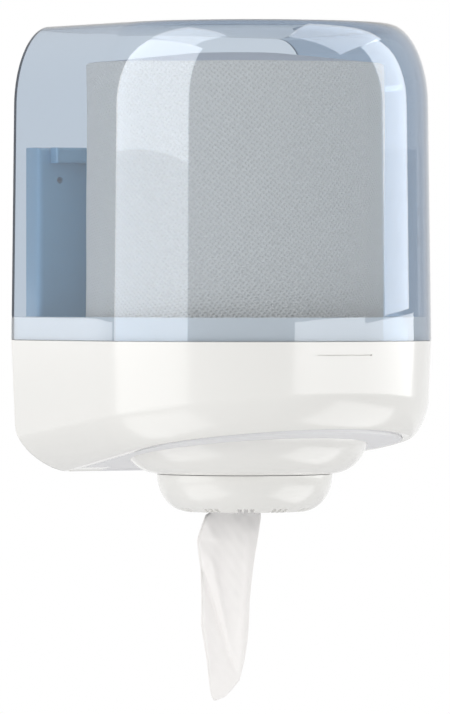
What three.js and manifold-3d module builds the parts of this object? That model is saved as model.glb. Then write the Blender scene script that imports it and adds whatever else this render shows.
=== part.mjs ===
// A wall dispenser for centrefeed paper rolls. A clear hood and a white lower shell form one front unit that
// tilts forward about a rod at the bottom rear. The roll stands inside it, and its inner end runs down
// through a funnel and a rounded nozzle. Sizes are in millimetres. The wall is the plane y = 0, the dispenser
// stands out from it along -y, z is up, and the origin lies on the wall face in the middle of the casing.
import * as THREE from "three";
import { mergeVertices } from "three/addons/utils/BufferGeometryUtils.js";
import Module from "manifold-3d";

const wasm = await Module();
wasm.setup();

// Paper roll, which the dispenser is built round
const rollRadius = 99;
const rollBore = 30;
const rollHeight = 200;
const rollSlip = 7; // by which its winding stands higher at the bore than at the side
const rollEdge = 1.5;
const rollRear = 11; // from the wall to the roll
const rollX = -9; // the roll stands loosely, a little left of the middle

// Driving sizes of the front unit
const rollRoom = 20; // from the roll's radius to the body's half width
const bodyHalfWidth = rollRadius + rollRoom; // outside, at the seam between hood and lower shell
const frontOffset = 17; // by which the round front's centre is further out than the roll's radius
const frontCentre = rollRadius + frontOffset;
const seamZ = -20.1; // lower edge of the hood
const creaseRearZ = -109.4; // lower edge of the lower shell at the wall
const creaseFrontZ = -77.6; // and at the front
const gap = 0.3; // between pieces that touch
const overrun = 2; // by which cuts run past a face
const trayTopZ = -33.2; // of the tray that the roll stands on
const rollTopZ = trayTopZ + gap + rollHeight;

// Clear hood
const rollHeadroom = 23.4; // from the roll to the foot of the hood's dome
const hoodTopZ = rollTopZ + rollHeadroom;
const hoodWall = 2.5;
const hoodDraft = 2; // drawn in on each side at the foot of the shoulder
const shoulderWidth = 28;
const shoulderHeight = 55;
const domeRise = 1.8;
const domeSteps = [0.35, 0.7, 1]; // shares of the way from the shoulder to the flat of the dome
const domeReach = 60;

// Lower shell
const rimHeight = 15.6; // of the rim inside the hood, above the seam
const rimWall = 2.2;
const shellWall = 2.4;
const shellDraft = 2.6; // drawn in over draftHeight
const draftHeight = 62;
const rimStep = 2.4; // height over which the wall thickens to the rim
const hemWidthRear = 36; // width of the rounded hem at the wall
const hemWidthFront = 12.5;
const hemTaperLength = 175; // from the wall to where the hem is narrowest
const hemHeight = 24;
const hemPower = 1.45; // power of the hem's superellipse
const lipWidth = 5; // of the inward lip that carries the floor
const grooveHalfWidth = 21;
const grooveZ = -29.5;
const grooveHeight = 0.8;
const grooveDepth = 1.2;

// Hinge along the bottom rear edge
const hingeY = -8.2;
const hingeZ = -101.2;
const barrelRadius = 7.6;
const rodRadius = 2;
const rodClearance = 0.25;
const barrelInset = 5.7; // of the casing's barrel from the dish's side
const earLength = 21.9;
const earPlate = 3;
const earReach = 18.5; // of the ear's plate in front of the hinge axis
const capRadius = 4;
const capLength = 3.2;
const capWall = 1;

// Rear casing
const casingSideGap = 13; // from the body's half width
const casingHalfWidth = bodyHalfWidth - casingSideGap;
const casingTopZ = 108.7;
const casingShoulderZ = -62;
const casingBottomZ = -93.2;
const casingChamfer = 34; // width of its slanted lower corners
const casingBottomHalf = casingHalfWidth - casingChamfer;
const casingDepth = 18;
const casingWall = 2.5;
const casingEdge = 4; // radius of its front edges
const shoulderPostWidth = 44; // of each deep shoulder beside the dished middle
const dishHalfWidth = casingHalfWidth - shoulderPostWidth;
const dishDepth = 8; // from the wall to the dished middle's face
const casingBarrelHalf = dishHalfWidth - barrelInset;
const earEndX = casingBarrelHalf + earLength + gap;
const ribWall = 2.4;
const padHalf = 12;
const screwHoleRadius = 2.25;
const screwBossRadius = 5.5;
const screwInset = 16; // from the casing's side
const screwTopZ = 87;
const screwLowInset = 20;
const screwLowZ = -48;
const stopInset = 8.5; // from the casing's side
const stopWidth = 25.5;
const stopHeight = 10.5;
const stopProud = 10;
const stopEdge = 2.5;
const stopPegRadius = 2.5;

// Lock in the casing's right side, turned by a key through the hood
const lockY = -7.6;
const lockZ = 48;
const shaftRadius = 3;
const shaftTail = 2.2; // of the shaft behind the clip's face
const lockSeatRadius = 5.2; // of the collar that seats the lock on the casing
const lockSeatHeight = 0.9;
const lockHeadRadius = 5.5;
const lockHeadHeight = 1.6;
const keySlotWidth = 1.6;
const keySlotLength = 5;
const keySlotDepth = 3;
const keyHoleRadius = 5; // of the hole in the hood beside the lock
const camThickness = 3;
const camHalfWidth = 3;
const camReach = 22;
const clipThickness = 1.2;
const clipRadius = 4.6;
const neckRadius = 2.2; // of the groove that the clip sits in
const keeperNear = 15; // from the lock's axis up to the keeper
const keeperHeight = 6;
const keeperDepth = 3;
const keeperGap = 1.6; // from the casing's side

// Floor, bowl, tray and funnel
const floorPlate = 1.6;
const bowlMargin = 37; // from the body's half width
const bowlRadius = bodyHalfWidth - bowlMargin;
const bowlRoundWidth = 25;
const bowlFlatRadius = bowlRadius - bowlRoundWidth;
const bowlBottomZ = -109;
const bowlRoundHeight = 25;
const bowlWall = 2.2;
const bowlFlange = 6;
const hingeRoom = 18; // from the wall to the bowl's flange
const nozzleAxis = bowlRadius + bowlFlange + hingeRoom; // from the wall, of bowl, funnel and nozzle
const trayPlate = 2.5;
const trayRearY = -20;
const funnelMargin = 20; // inside the bowl's radius
const funnelTopRadius = bowlRadius - funnelMargin;
const funnelFlange = 4;
const funnelFlangePlate = 1;
const funnelEndRadius = 16;
const funnelEndZ = -98;
const funnelWall = 2.2;
const postRadius = 4.5;
const postGap = 5.2; // from the bowl's flange
const postReach = bowlRadius + bowlFlange + postGap + postRadius;
const postRearAngle = 41.6; // degrees from the x axis
const postFrontAngle = -47.5;

// Nozzle
const collarRadius = 34;
const collarWall = 3;
const collarFlange = 12;
const collarFlangePlate = 1.8;
const collarEndZ = -117.6;
const lugCount = 3;
const lugReach = 4;
const lugHeight = 2;
const lugAngle = 40; // degrees
const slotAngle = 44;
const collarScrews = 3;
const collarScrewRadius = 40; // from the axis to each screw
const cupRadius = 58.5;
const cupMouthRadius = 38;
const cupBottomZ = -134.2;
const cupWall = 2.3;
const webTopZ = -113;
const webThickness = 2.2;
const skirtInner = 39.5;
const skirtRadius = 44.2;
const skirtEndZ = -123.6;
const skirtLip = 1;
const starStepZ = -118.1;
const starRadius = 41.7;
const starThickness = 1.4;
const starHoleRadius = 9;
const starSlitLength = 15;
const starSlitWidth = 0.8;
const starSlits = 8;
const starRingInner = 36;
const starRingHeight = 2.2;
const toothGroups = 12;
const teethInGroup = 3;
const toothWidth = 2.2;
const toothPitch = 3.9;
const toothDepth = 2.4;
const toothFootRadius = 42.5;
const toothReach = 8;

// Small screws: countersunk and pan heads share these
const screwRadius = 1.3;
const screwHeadRadius = 2.7;
const screwHeadHeight = 1.7;
const screwLength = 9;
const shortScrewLength = 4.2;
const pilotClearance = 0.3;

// Paper tail
const tailHang = 126.3; // from the nozzle's mouth to the tail's tip
const tailWidth = 40.5; // where it is broadest
const tailFold = 7; // depth of its deepest folds
const tailPlies = 1.1; // thickness of the gathered paper
const tailTurn = -31; // degrees, of the tail's broad side from the wall
const tailStartAlong = -37; // where it leaves the roll, from the nozzle's axis
const tailStartAcross = -22;
const tailStartWide = 26;
const tailStartFold = 5;
const tailThroatWide = 11;
const tailThroatFold = 3;

// Facets: how many steps stand in for each round
const sideSteps = 5;
const arcSteps = 28;
const roundSteps = 6;
const turnSteps = 44;
const smallSteps = 16;

const toRadians = Math.PI / 180;

// Turns a closed geometry into a solid with its faces outwards.
function solid(geometry) {
  const bare = geometry.index ? geometry.toNonIndexed() : geometry;
  const plain = new THREE.BufferGeometry().setAttribute("position", bare.getAttribute("position"));
  const merged = mergeVertices(plain, 1e-4);
  const mesh = { numProp: 3, vertProperties: merged.attributes.position.array };
  const triVerts = new Uint32Array(merged.index.array);
  const made = new wasm.Manifold(new wasm.Mesh({ ...mesh, triVerts }));
  if (made.volume() > 0) return made;
  for (let i = 0; i < triVerts.length; i += 3) {
    [triVerts[i + 1], triVerts[i + 2]] = [triVerts[i + 2], triVerts[i + 1]];
  }
  return new wasm.Manifold(new wasm.Mesh({ ...mesh, triVerts }));
}

// Turns a solid back into a geometry with flat faces.
function geometryOf(body) {
  const mesh = body.getMesh();
  const geometry = new THREE.BufferGeometry();
  geometry.setAttribute("position", new THREE.BufferAttribute(mesh.vertProperties, 3));
  geometry.setIndex(new THREE.BufferAttribute(mesh.triVerts, 1));
  const flat = geometry.toNonIndexed();
  flat.computeVertexNormals();
  return flat;
}

function joined(...bodies) {
  return bodies.reduce((whole, body) => whole.add(body));
}

function cut(body, ...cutters) {
  return cutters.reduce((left, cutter) => left.subtract(cutter), body);
}

// A box between two corners, in any order.
function box(x0, x1, y0, y1, z0, z1) {
  const geometry = new THREE.BoxGeometry(Math.abs(x1 - x0), Math.abs(y1 - y0), Math.abs(z1 - z0));
  return solid(geometry.translate((x0 + x1) / 2, (y0 + y1) / 2, (z0 + z1) / 2));
}

// A round bar along one axis, from one end to the other, through the point given across it.
function bar(axis, radius, from, to, across, steps = turnSteps) {
  const geometry = new THREE.CylinderGeometry(radius, radius, Math.abs(to - from), steps);
  const middle = (from + to) / 2;
  if (axis === "x") geometry.rotateZ(Math.PI / 2).translate(middle, across[0], across[1]);
  if (axis === "y") geometry.translate(across[0], middle, across[1]);
  if (axis === "z") geometry.rotateX(Math.PI / 2).translate(across[0], across[1], middle);
  return solid(geometry);
}

// A profile of [radius, z] points turned about the z axis. It closes on itself or on the axis.
function turned(profile, steps = turnSteps) {
  const points = profile.map(([r, z]) => new THREE.Vector2(r, z));
  if (profile[0][0] > 0) points.push(points[0].clone());
  return solid(new THREE.LatheGeometry(points, steps).rotateX(Math.PI / 2));
}

// A quarter of an ellipse in a profile, about a centre, from one angle in degrees to another.
function arc(centreR, centreZ, radiusR, radiusZ, fromAngle, toAngle, steps = roundSteps) {
  return Array.from({ length: steps + 1 }, (_, i) => {
    const angle = (fromAngle + ((toAngle - fromAngle) * i) / steps) * toRadians;
    return [centreR + radiusR * Math.cos(angle), centreZ + radiusZ * Math.sin(angle)];
  });
}

// A closed skin through rings of equally many [x, y, z] points, with a flat cap on the first and last ring.
function loft(rings) {
  const count = rings[0].length;
  const flat = rings[0].map(([x, y]) => new THREE.Vector2(x, y));
  const cap = THREE.ShapeUtils.triangulateShape(flat, []);
  const top = (rings.length - 1) * count;
  const index = cap.flatMap(([a, b, c]) => [a, c, b]);
  for (let r = 0; r < rings.length - 1; r++) {
    for (let i = 0; i < count; i++) {
      const a = r * count + i;
      const b = r * count + ((i + 1) % count);
      index.push(a, b, b + count, a, b + count, a + count);
    }
  }
  index.push(...cap.flatMap(([a, b, c]) => [top + a, top + b, top + c]));
  const geometry = new THREE.BufferGeometry();
  geometry.setAttribute("position", new THREE.Float32BufferAttribute(rings.flat(2), 3));
  geometry.setIndex(index);
  return solid(geometry);
}

// A screw along -z with its head above z = 0. It is placed by its mesh.
function screw(length) {
  const head = arc(0, 0, screwHeadRadius, screwHeadHeight, 0, 90, 3);
  return turned([[0, -length], [screwRadius, -length + screwRadius], [screwRadius, 0], ...head], smallSteps);
}

const whiteGloss = { color: 0xf2f1ec, roughness: 0.22, metalness: 0 };
const greyWhite = { color: 0xdcdce4, roughness: 0.4, metalness: 0 };
const bluePlastic = { color: 0x8cabc7, roughness: 0.35, metalness: 0 };
const clearBlue = { color: 0x9fbcd4, roughness: 0.05, metalness: 0, transparent: true, opacity: 0.4 };
const steel = { color: 0xb9bcc0, roughness: 0.3, metalness: 1 };
const rubber = { color: 0x8f949b, roughness: 0.7, metalness: 0 };
const paper = { color: 0xeeece8, roughness: 0.95, metalness: 0 };

const dispenser = new THREE.Group();

function addPiece(parent, name, body, look) {
  const mesh = new THREE.Mesh(geometryOf(body), new THREE.MeshStandardMaterial(look));
  mesh.name = name;
  parent.add(mesh);
  return mesh;
}

function groupAt(x, y, z) {
  const group = new THREE.Group();
  group.position.set(x, y, z);
  dispenser.add(group);
  return group;
}

// Plan of hood and lower shell: straight sides from the wall, then a half circle. Each station is a point of
// the plan at full width, and a ring is that plan drawn in by its inset and lifted to its height.
function planStations() {
  const side = Array.from({ length: sideSteps }, (_, i) => (-frontCentre * i) / sideSteps);
  const front = Array.from({ length: arcSteps + 1 }, (_, i) => {
    const angle = (Math.PI * i) / arcSteps;
    return [-bodyHalfWidth * Math.cos(angle), -frontCentre - bodyHalfWidth * Math.sin(angle)];
  });
  const left = side.map((y) => [-bodyHalfWidth, y]);
  const right = side.map((y) => [bodyHalfWidth, y]).reverse();
  return [...left, ...front, ...right];
}

const stations = planStations();

function ring(insetAt, heightAt, rear = 0) {
  return stations.map(([x0, y0]) => {
    const inset = insetAt(y0);
    const isRound = y0 < -frontCentre;
    const share = (bodyHalfWidth - inset) / bodyHalfWidth;
    const x = isRound ? x0 * share : x0 - Math.sign(x0) * inset;
    const y = isRound ? -frontCentre + (y0 + frontCentre) * share : y0 || rear;
    return [x, y, heightAt(y)];
  });
}

const always = (value) => () => value;

// Hood: draft, elliptical shoulder and a slight dome. The wall is the same form drawn in.
const shoulderZ = hoodTopZ - shoulderHeight;

function hoodForm(wall, bottomZ, rear) {
  const rings = [ring(always(wall), always(bottomZ), rear)];
  for (let i = 0; i <= roundSteps; i++) {
    const angle = (Math.PI / 2) * (i / roundSteps);
    const inset = hoodDraft + wall + (shoulderWidth - wall) * (1 - Math.cos(angle));
    const height = shoulderZ + (shoulderHeight - wall) * Math.sin(angle);
    rings.push(ring(always(inset), always(height), rear));
  }
  for (const share of domeSteps) {
    const height = hoodTopZ - wall + domeRise * Math.sin((Math.PI / 2) * share);
    rings.push(ring(always(hoodDraft + shoulderWidth + domeReach * share), always(height), rear));
  }
  return loft(rings);
}

function hood() {
  const shell = cut(hoodForm(0, seamZ, 0), hoodForm(hoodWall, seamZ - overrun, overrun));
  const keyHoleFrom = bodyHalfWidth - hoodDraft - hoodWall - overrun;
  return cut(shell, bar("x", keyHoleRadius, keyHoleFrom, bodyHalfWidth + overrun, [lockY, lockZ], smallSteps));
}

// How far the hood's side is drawn in at a height below its shoulder.
function sideDraftAt(z) {
  return (hoodDraft * (z - seamZ)) / (shoulderZ - seamZ);
}

// Keeper: a block bonded inside the hood's right wall. The cam, turned up, stands in front of it.
function lockKeeper() {
  const top = lockZ + keeperNear + keeperHeight;
  const wall = bodyHalfWidth - sideDraftAt(top) - hoodWall - gap;
  const front = lockY + camHalfWidth + gap;
  return box(casingHalfWidth + keeperGap, wall, front, front + keeperDepth, lockZ + keeperNear, top);
}

// Lower shell: a straight drafted wall over a hem whose width shrinks from the wall to the front. Its lower
// edge lies in the sloping plane of the underside.
const frontY = -frontCentre - bodyHalfWidth;
const undersideSlope = (creaseFrontZ - creaseRearZ) / frontY;
const undersideAt = (y) => creaseRearZ + undersideSlope * y;

function hemWidthAt(y) {
  const share = Math.max(0, 1 + y / hemTaperLength);
  return hemWidthFront + (hemWidthRear - hemWidthFront) * share;
}

function hemStartAt(y) {
  const drop = seamZ - (undersideAt(y) + hemHeight);
  return (shellDraft * drop) / draftHeight;
}

const hemEndAt = (y) => hemStartAt(y) + hemWidthAt(y);

// One ring of the hem, at an angle in radians from its start (0) to its end on the underside.
function hemRing(angle, wall, rear) {
  const down = Math.sin(angle) ** (2 / hemPower);
  const inward = 1 - Math.max(Math.cos(angle), 0) ** (2 / hemPower);
  const insetAt = (y) => hemStartAt(y) + hemWidthAt(y) * inward + wall * Math.cos(angle);
  const heightAt = (y) => undersideAt(y) + hemHeight * (1 - down) + wall * Math.sin(angle);
  return ring(insetAt, heightAt, rear);
}

function hemRings(wall, rear) {
  const angles = Array.from({ length: roundSteps + 1 }, (_, i) => (Math.PI / 2) * (1 - i / roundSteps));
  return angles.map((angle) => hemRing(angle, wall, rear));
}

const rimInset = hoodWall + gap;
const rimTopZ = seamZ + rimHeight;
const ledgeZ = seamZ - gap;

function baseShell() {
  const outside = loft([
    ...hemRings(0, 0),
    ring(always(0), always(ledgeZ)),
    ring(always(rimInset), always(ledgeZ)),
    ring(always(rimInset), always(rimTopZ)),
  ]);
  const openingAt = (y) => hemEndAt(y) + lipWidth;
  const inside = loft([
    ring(openingAt, (y) => undersideAt(y) - overrun, overrun),
    ring(openingAt, (y) => undersideAt(y) + shellWall, overrun),
    ...hemRings(shellWall, overrun),
    ring(always(shellWall), always(ledgeZ - 2 * rimStep), overrun),
    ring(always(rimInset + rimWall), always(ledgeZ - rimStep), overrun),
    ring(always(rimInset + rimWall), always(rimTopZ + overrun), overrun),
  ]);
  const bare = cut(outside, inside, hingeRounding(), grooveCutter());
  const bore = bar("x", rodRadius + rodClearance, -earEndX - overrun, earEndX + overrun, hingeLine, smallSteps);
  return cut(joined(bare, hingeEar(-1), hingeEar(1)), bore);
}

// The finger groove under the seam, at the front.
function grooveCutter() {
  const floorRadius = bodyHalfWidth - (shellDraft * (seamZ - grooveZ)) / draftHeight - grooveDepth;
  const top = grooveZ + grooveHeight;
  const outer = bar("z", bodyHalfWidth + overrun, grooveZ, top, [0, -frontCentre], 2 * turnSteps);
  const inner = bar("z", floorRadius, grooveZ - overrun, top + overrun, [0, -frontCentre], 2 * turnSteps);
  const reach = bodyHalfWidth + overrun;
  const window = box(-grooveHalfWidth, grooveHalfWidth, -frontCentre - reach, -frontCentre, grooveZ, top);
  return window.intersect(cut(outer, inner));
}

// Hinge: ears on the lower shell either side of the casing's barrel, on one rod.
const hingeLine = [hingeY, hingeZ];
const earStartX = casingBarrelHalf + gap;

function hingeRounding() {
  const reach = barrelRadius + hemHeight;
  const corner = box(-bodyHalfWidth, bodyHalfWidth, hingeY, reach, hingeZ - reach, hingeZ);
  return cut(corner, bar("x", barrelRadius + gap, -bodyHalfWidth, bodyHalfWidth, hingeLine));
}

// A slab that follows the underside between two heights above it, over the whole plan.
function undersideSlab(low, high) {
  const reach = 2 * bodyHalfWidth;
  const front = -reach - frontCentre;
  const corners = [[-reach, reach], [-reach, front], [reach, front], [reach, reach]];
  return loft([low, high].map((lift) => corners.map(([x, y]) => [x, y, undersideAt(y) + lift])));
}

function hingeEar(side) {
  const barrel = bar("x", barrelRadius, side * earStartX, side * earEndX, hingeLine);
  const reach = box(side * earStartX, side * earEndX, hingeY - earReach, hingeY, hingeZ, 2 * hingeZ);
  return joined(barrel, reach.intersect(undersideSlab(0, earPlate)));
}

// Rear casing: a shallow box open to the wall, drawn in the plane of the wall and lofted out from it.
function casingForm(shrink, edge, from, to) {
  const halfWidth = casingHalfWidth - shrink;
  const outline = (inset) => [
    [-halfWidth + inset, casingTopZ - shrink - inset],
    [-halfWidth + inset, casingShoulderZ],
    [-casingBottomHalf + inset, casingBottomZ + shrink + inset],
    [casingBottomHalf - inset, casingBottomZ + shrink + inset],
    [halfWidth - inset, casingShoulderZ],
    [halfWidth - inset, casingTopZ - shrink - inset],
  ];
  const level = (inset, depth) => outline(inset).map(([x, z]) => [x, z, depth]);
  const rounded = arc(edge, to - edge, edge, edge, 180, 90, 3).map(([inset, depth]) => level(inset, depth));
  return standing(loft([level(0, from), ...rounded]));
}

// Turns a form drawn as x, height and distance from the wall into the dispenser's axes.
function standing(body) {
  return body.rotate([90, 0, 0]);
}

function rearCasing() {
  const middle = (halfWidth, back) => {
    return box(-halfWidth, halfWidth, back, -2 * casingDepth, 2 * casingBottomZ, 2 * casingTopZ);
  };
  const outside = cut(casingForm(0, casingEdge, 0, casingDepth), middle(dishHalfWidth, -dishDepth));
  const inside = cut(
    casingForm(casingWall, casingEdge, -overrun, casingDepth - casingWall),
    middle(dishHalfWidth + casingWall, casingWall - dishDepth),
  );
  const ribDepth = -casingDepth;
  const ribs = joined(
    box(-casingHalfWidth, casingHalfWidth, ribDepth, 0, -ribWall / 2, ribWall / 2),
    box(-ribWall / 2, ribWall / 2, ribDepth, 0, casingBottomZ, casingTopZ),
    box(-padHalf, padHalf, ribDepth, 0, -padHalf, padHalf),
    ...screwPlaces().map((place) => bar("y", screwBossRadius, ribDepth, 0, place, smallSteps)),
  );
  const barrel = joined(
    bar("x", barrelRadius, -casingBarrelHalf, casingBarrelHalf, hingeLine),
    box(-casingBarrelHalf, casingBarrelHalf, hingeY - barrelRadius, hingeY + barrelRadius, hingeZ,
      casingBottomZ + casingWall),
  );
  const shell = joined(cut(outside, inside), ribs.intersect(outside), barrel);
  const pegHoles = [-1, 1].map((side) => {
    const across = [side * stopMiddleX, stopMiddleZ];
    const back = -casingDepth + casingWall + overrun;
    return bar("y", stopPegRadius + gap, -casingDepth - overrun, back, across, smallSteps);
  });
  const boreHalf = casingBarrelHalf + overrun;
  return cut(
    shell,
    ...pegHoles,
    bar("x", rodRadius + rodClearance, -boreHalf, boreHalf, hingeLine, smallSteps),
    ...screwPlaces().map((place) => bar("y", screwHoleRadius, -2 * casingDepth, overrun, place, smallSteps)),
    bar("x", shaftRadius + gap, casingHalfWidth - 2 * casingWall, casingHalfWidth + overrun,
      [lockY, lockZ], smallSteps),
  );
}

function screwPlaces() {
  const right = [
    [casingHalfWidth - screwInset, screwTopZ],
    [casingHalfWidth - screwLowInset, screwLowZ],
  ];
  return [...right, ...right.map(([x, z]) => [-x, z])];
}

// Roll stops: a block with rounded front edges on a peg, at the top of each shoulder.
const stopMiddleX = casingHalfWidth - stopInset - stopWidth / 2;
const stopMiddleZ = casingTopZ - stopHeight / 2;

function rollStop() {
  const halfWidth = stopWidth / 2;
  const level = (inset, depth) => [
    [-halfWidth + inset, stopHeight / 2 - inset, depth],
    [-halfWidth + inset, -stopHeight / 2 + inset, depth],
    [halfWidth - inset, -stopHeight / 2 + inset, depth],
    [halfWidth - inset, stopHeight / 2 - inset, depth],
  ];
  const rounded = arc(stopEdge, stopProud - stopEdge, stopEdge, stopEdge, 180, 90, 3);
  const block = standing(loft([level(0, gap), ...rounded.map(([inset, depth]) => level(inset, depth))]));
  return joined(block, bar("y", stopPegRadius, -2 * gap, casingWall, [0, 0], smallSteps));
}

// Lock pieces, drawn with the barrel upright. Their heights are distances from the casing's middle plane.
const clipTop = casingHalfWidth - casingWall - gap;
const lockSeat = casingHalfWidth + gap;
const camBottom = lockSeat + lockSeatHeight + gap;
const camTop = camBottom + camThickness;

function lockBarrel() {
  const head = camTop + gap;
  const top = head + lockHeadHeight;
  const body = turned([
    [0, clipTop - shaftTail],
    [shaftRadius, clipTop - shaftTail],
    [shaftRadius, clipTop - clipThickness - gap],
    [neckRadius, clipTop - clipThickness - gap],
    [neckRadius, clipTop],
    [shaftRadius, clipTop],
    [shaftRadius, lockSeat],
    [lockSeatRadius, lockSeat],
    [lockSeatRadius, lockSeat + lockSeatHeight],
    [shaftRadius, lockSeat + lockSeatHeight],
    [shaftRadius, head],
    [lockHeadRadius, head],
    [lockHeadRadius, top],
    [0, top],
  ], smallSteps);
  const halfLength = keySlotLength / 2;
  const halfWidth = keySlotWidth / 2;
  return cut(body, box(-halfLength, halfLength, -halfWidth, halfWidth, top - keySlotDepth, top + overrun));
}

// The cam's arm points to the front, below the keeper, when the lock is open.
function lockCam() {
  const arm = joined(
    bar("z", lockHeadRadius, camBottom, camTop, [0, 0], smallSteps),
    box(-camHalfWidth, camHalfWidth, -camReach, 0, camBottom, camTop),
  );
  return cut(arm, bar("z", shaftRadius + gap, camBottom - overrun, camTop + overrun, [0, 0], smallSteps));
}

function lockClip() {
  const bottom = clipTop - clipThickness;
  const inner = neckRadius + gap;
  const washer = turned([
    [inner, bottom],
    [clipRadius, bottom],
    [clipRadius, clipTop],
    [inner, clipTop],
  ], smallSteps);
  return cut(washer, box(-inner, inner, -2 * clipRadius, 0, bottom - overrun, clipTop + overrun));
}

// Push cap on the rod's end, drawn along +x with its mouth at x = 0.
function hingeCap() {
  const whole = bar("x", capRadius, 0, capLength, [0, 0], smallSteps);
  return cut(whole, bar("x", rodRadius + gap, -overrun, capLength - capWall, [0, 0], smallSteps));
}

// Floor: fills the lower shell's opening flush with its lip and rests on the lip's upper side. Posts carry the
// tray. It stops short of the casing's barrel and of the ears.
const floorTop = shellWall + gap + floorPlate; // above the underside plane
const postPlaces = [postRearAngle, postFrontAngle].flatMap((angle) => {
  const x = postReach * Math.cos(angle * toRadians);
  const y = postReach * Math.sin(angle * toRadians) - nozzleAxis;
  return [[x, y], [-x, y]];
});

function baseFloor() {
  const plugAt = (y) => hemEndAt(y) + lipWidth + gap;
  const plateAt = (y) => hemEndAt(y) + 2 * gap;
  const stepAt = (y) => undersideAt(y) + shellWall + gap;
  const plate = loft([
    ring(plugAt, undersideAt),
    ring(plugAt, stepAt),
    ring(plateAt, stepAt),
    ring(plateAt, (y) => undersideAt(y) + floorTop),
  ]);
  const barrelGap = hingeY - barrelRadius - 4 * gap;
  const earGap = hingeY - earReach - gap;
  const posts = postPlaces.map((place) => {
    const foot = undersideAt(place[1]) + shellWall;
    const post = bar("z", postRadius, foot, trayTopZ - trayPlate - gap, place, smallSteps);
    return cut(post, trayScrewHole(place));
  });
  const bodyOnly = cut(
    plate,
    box(-bodyHalfWidth, bodyHalfWidth, barrelGap, overrun, 2 * creaseRearZ, 0),
    box(earStartX - 2 * gap, bodyHalfWidth, earGap, overrun, 2 * creaseRearZ, 0),
    box(2 * gap - earStartX, -bodyHalfWidth, earGap, overrun, 2 * creaseRearZ, 0),
    turned(bowlProfile(gap, 0)).translate([0, -nozzleAxis, 0]),
  );
  return joined(bodyOnly, ...posts);
}

function trayScrewHole(place) {
  return bar("z", screwRadius + pilotClearance, trayTopZ - screwLength - overrun, 0, place, smallSteps);
}

// Bowl: a turned dish that bulges out through the sloping floor, with a flange that rests on the floor.
function bowlProfile(offset, top) {
  const roundZ = bowlBottomZ + bowlRoundHeight;
  const width = bowlRadius - bowlFlatRadius + offset;
  const height = bowlRoundHeight + offset;
  return [
    [0, roundZ - height],
    ...arc(bowlFlatRadius, roundZ, width, height, -90, 0),
    [bowlRadius + offset, top],
    [0, top],
  ];
}

function bowl() {
  const flangeTop = floorTop + gap + floorPlate;
  const flangeDisc = bar("z", bowlRadius + bowlFlange, 2 * creaseRearZ, 0, [0, 0]);
  const onAxis = (body) => body.translate([0, -nozzleAxis, 0]);
  const hole = bar("z", collarRadius + gap, bowlBottomZ - overrun, 0, [0, 0]);
  return cut(
    joined(
      cut(onAxis(turned(bowlProfile(0, 0))), undersideSlab(flangeTop, 2 * bodyHalfWidth)),
      onAxis(flangeDisc).intersect(undersideSlab(floorTop + gap, flangeTop)),
    ),
    onAxis(turned(bowlProfile(-bowlWall, overrun))),
    onAxis(hole),
    ...collarScrewHoles(-nozzleAxis),
  );
}

function collarScrewHoles(y0) {
  const from = bowlBottomZ - overrun;
  const to = bowlBottomZ + collarFlange;
  return collarScrewPlaces().map(([x, y]) => {
    return bar("z", screwRadius + pilotClearance, from, to, [x, y0 + y], smallSteps);
  });
}

function collarScrewPlaces() {
  return Array.from({ length: collarScrews }, (_, i) => {
    const angle = (2 * Math.PI * i) / collarScrews - Math.PI / 2;
    return [collarScrewRadius * Math.cos(angle), collarScrewRadius * Math.sin(angle)];
  });
}

// Roll tray: a level plate inside the lower shell, screwed to the posts, recessed for the funnel's flange.
function rollTray() {
  const insetAt = always(rimInset + rimWall + 2 * gap);
  const plate = loft([
    ring(insetAt, always(trayTopZ - trayPlate)),
    ring(insetAt, always(trayTopZ)),
  ]);
  const recessZ = trayTopZ - funnelFlangePlate - gap;
  const recessRadius = funnelTopRadius + funnelFlange + gap;
  return cut(
    plate,
    box(-bodyHalfWidth, bodyHalfWidth, trayRearY, overrun, 2 * trayTopZ, 0),
    bar("z", funnelTopRadius + gap, 2 * trayTopZ, 0, [0, -nozzleAxis]),
    bar("z", recessRadius, recessZ, 0, [0, -nozzleAxis]),
    ...postPlaces.flatMap((place) => [trayScrewHole(place), trayHeadHole(place)]),
  );
}

function trayHeadHole(place) {
  return bar("z", screwHeadRadius + gap, trayTopZ - screwHeadHeight - gap, 0, place, smallSteps);
}

// Funnel, about the nozzle's axis.
function funnel() {
  const top = trayTopZ - gap / 2;
  const under = top - funnelFlangePlate;
  return turned([
    [funnelEndRadius - funnelWall, funnelEndZ],
    [funnelEndRadius, funnelEndZ],
    [funnelTopRadius, under],
    [funnelTopRadius + funnelFlange, under],
    [funnelTopRadius + funnelFlange, top],
    [funnelTopRadius - funnelWall, top],
  ]);
}

// Nozzle collar: a flanged tube screwed into the bowl, with three bayonet lugs that carry the cup.
const bowlFloorZ = bowlBottomZ + bowlWall;
const webBottomZ = webTopZ - webThickness;

// A sector of a ring about the z axis, centred on an angle in degrees.
function sector(inner, outer, low, high, centre, width) {
  const from = (centre - width / 2) * toRadians;
  const to = (centre + width / 2) * toRadians;
  const shape = new THREE.Shape();
  shape.absarc(0, 0, outer, from, to, false);
  shape.absarc(0, 0, inner, to, from, true);
  const depth = high - low;
  const geometry = new THREE.ExtrudeGeometry(shape, { depth, bevelEnabled: false, curveSegments: roundSteps });
  return solid(geometry.translate(0, 0, low));
}

function lugAngles() {
  return Array.from({ length: lugCount }, (_, i) => (360 * i) / lugCount);
}

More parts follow.
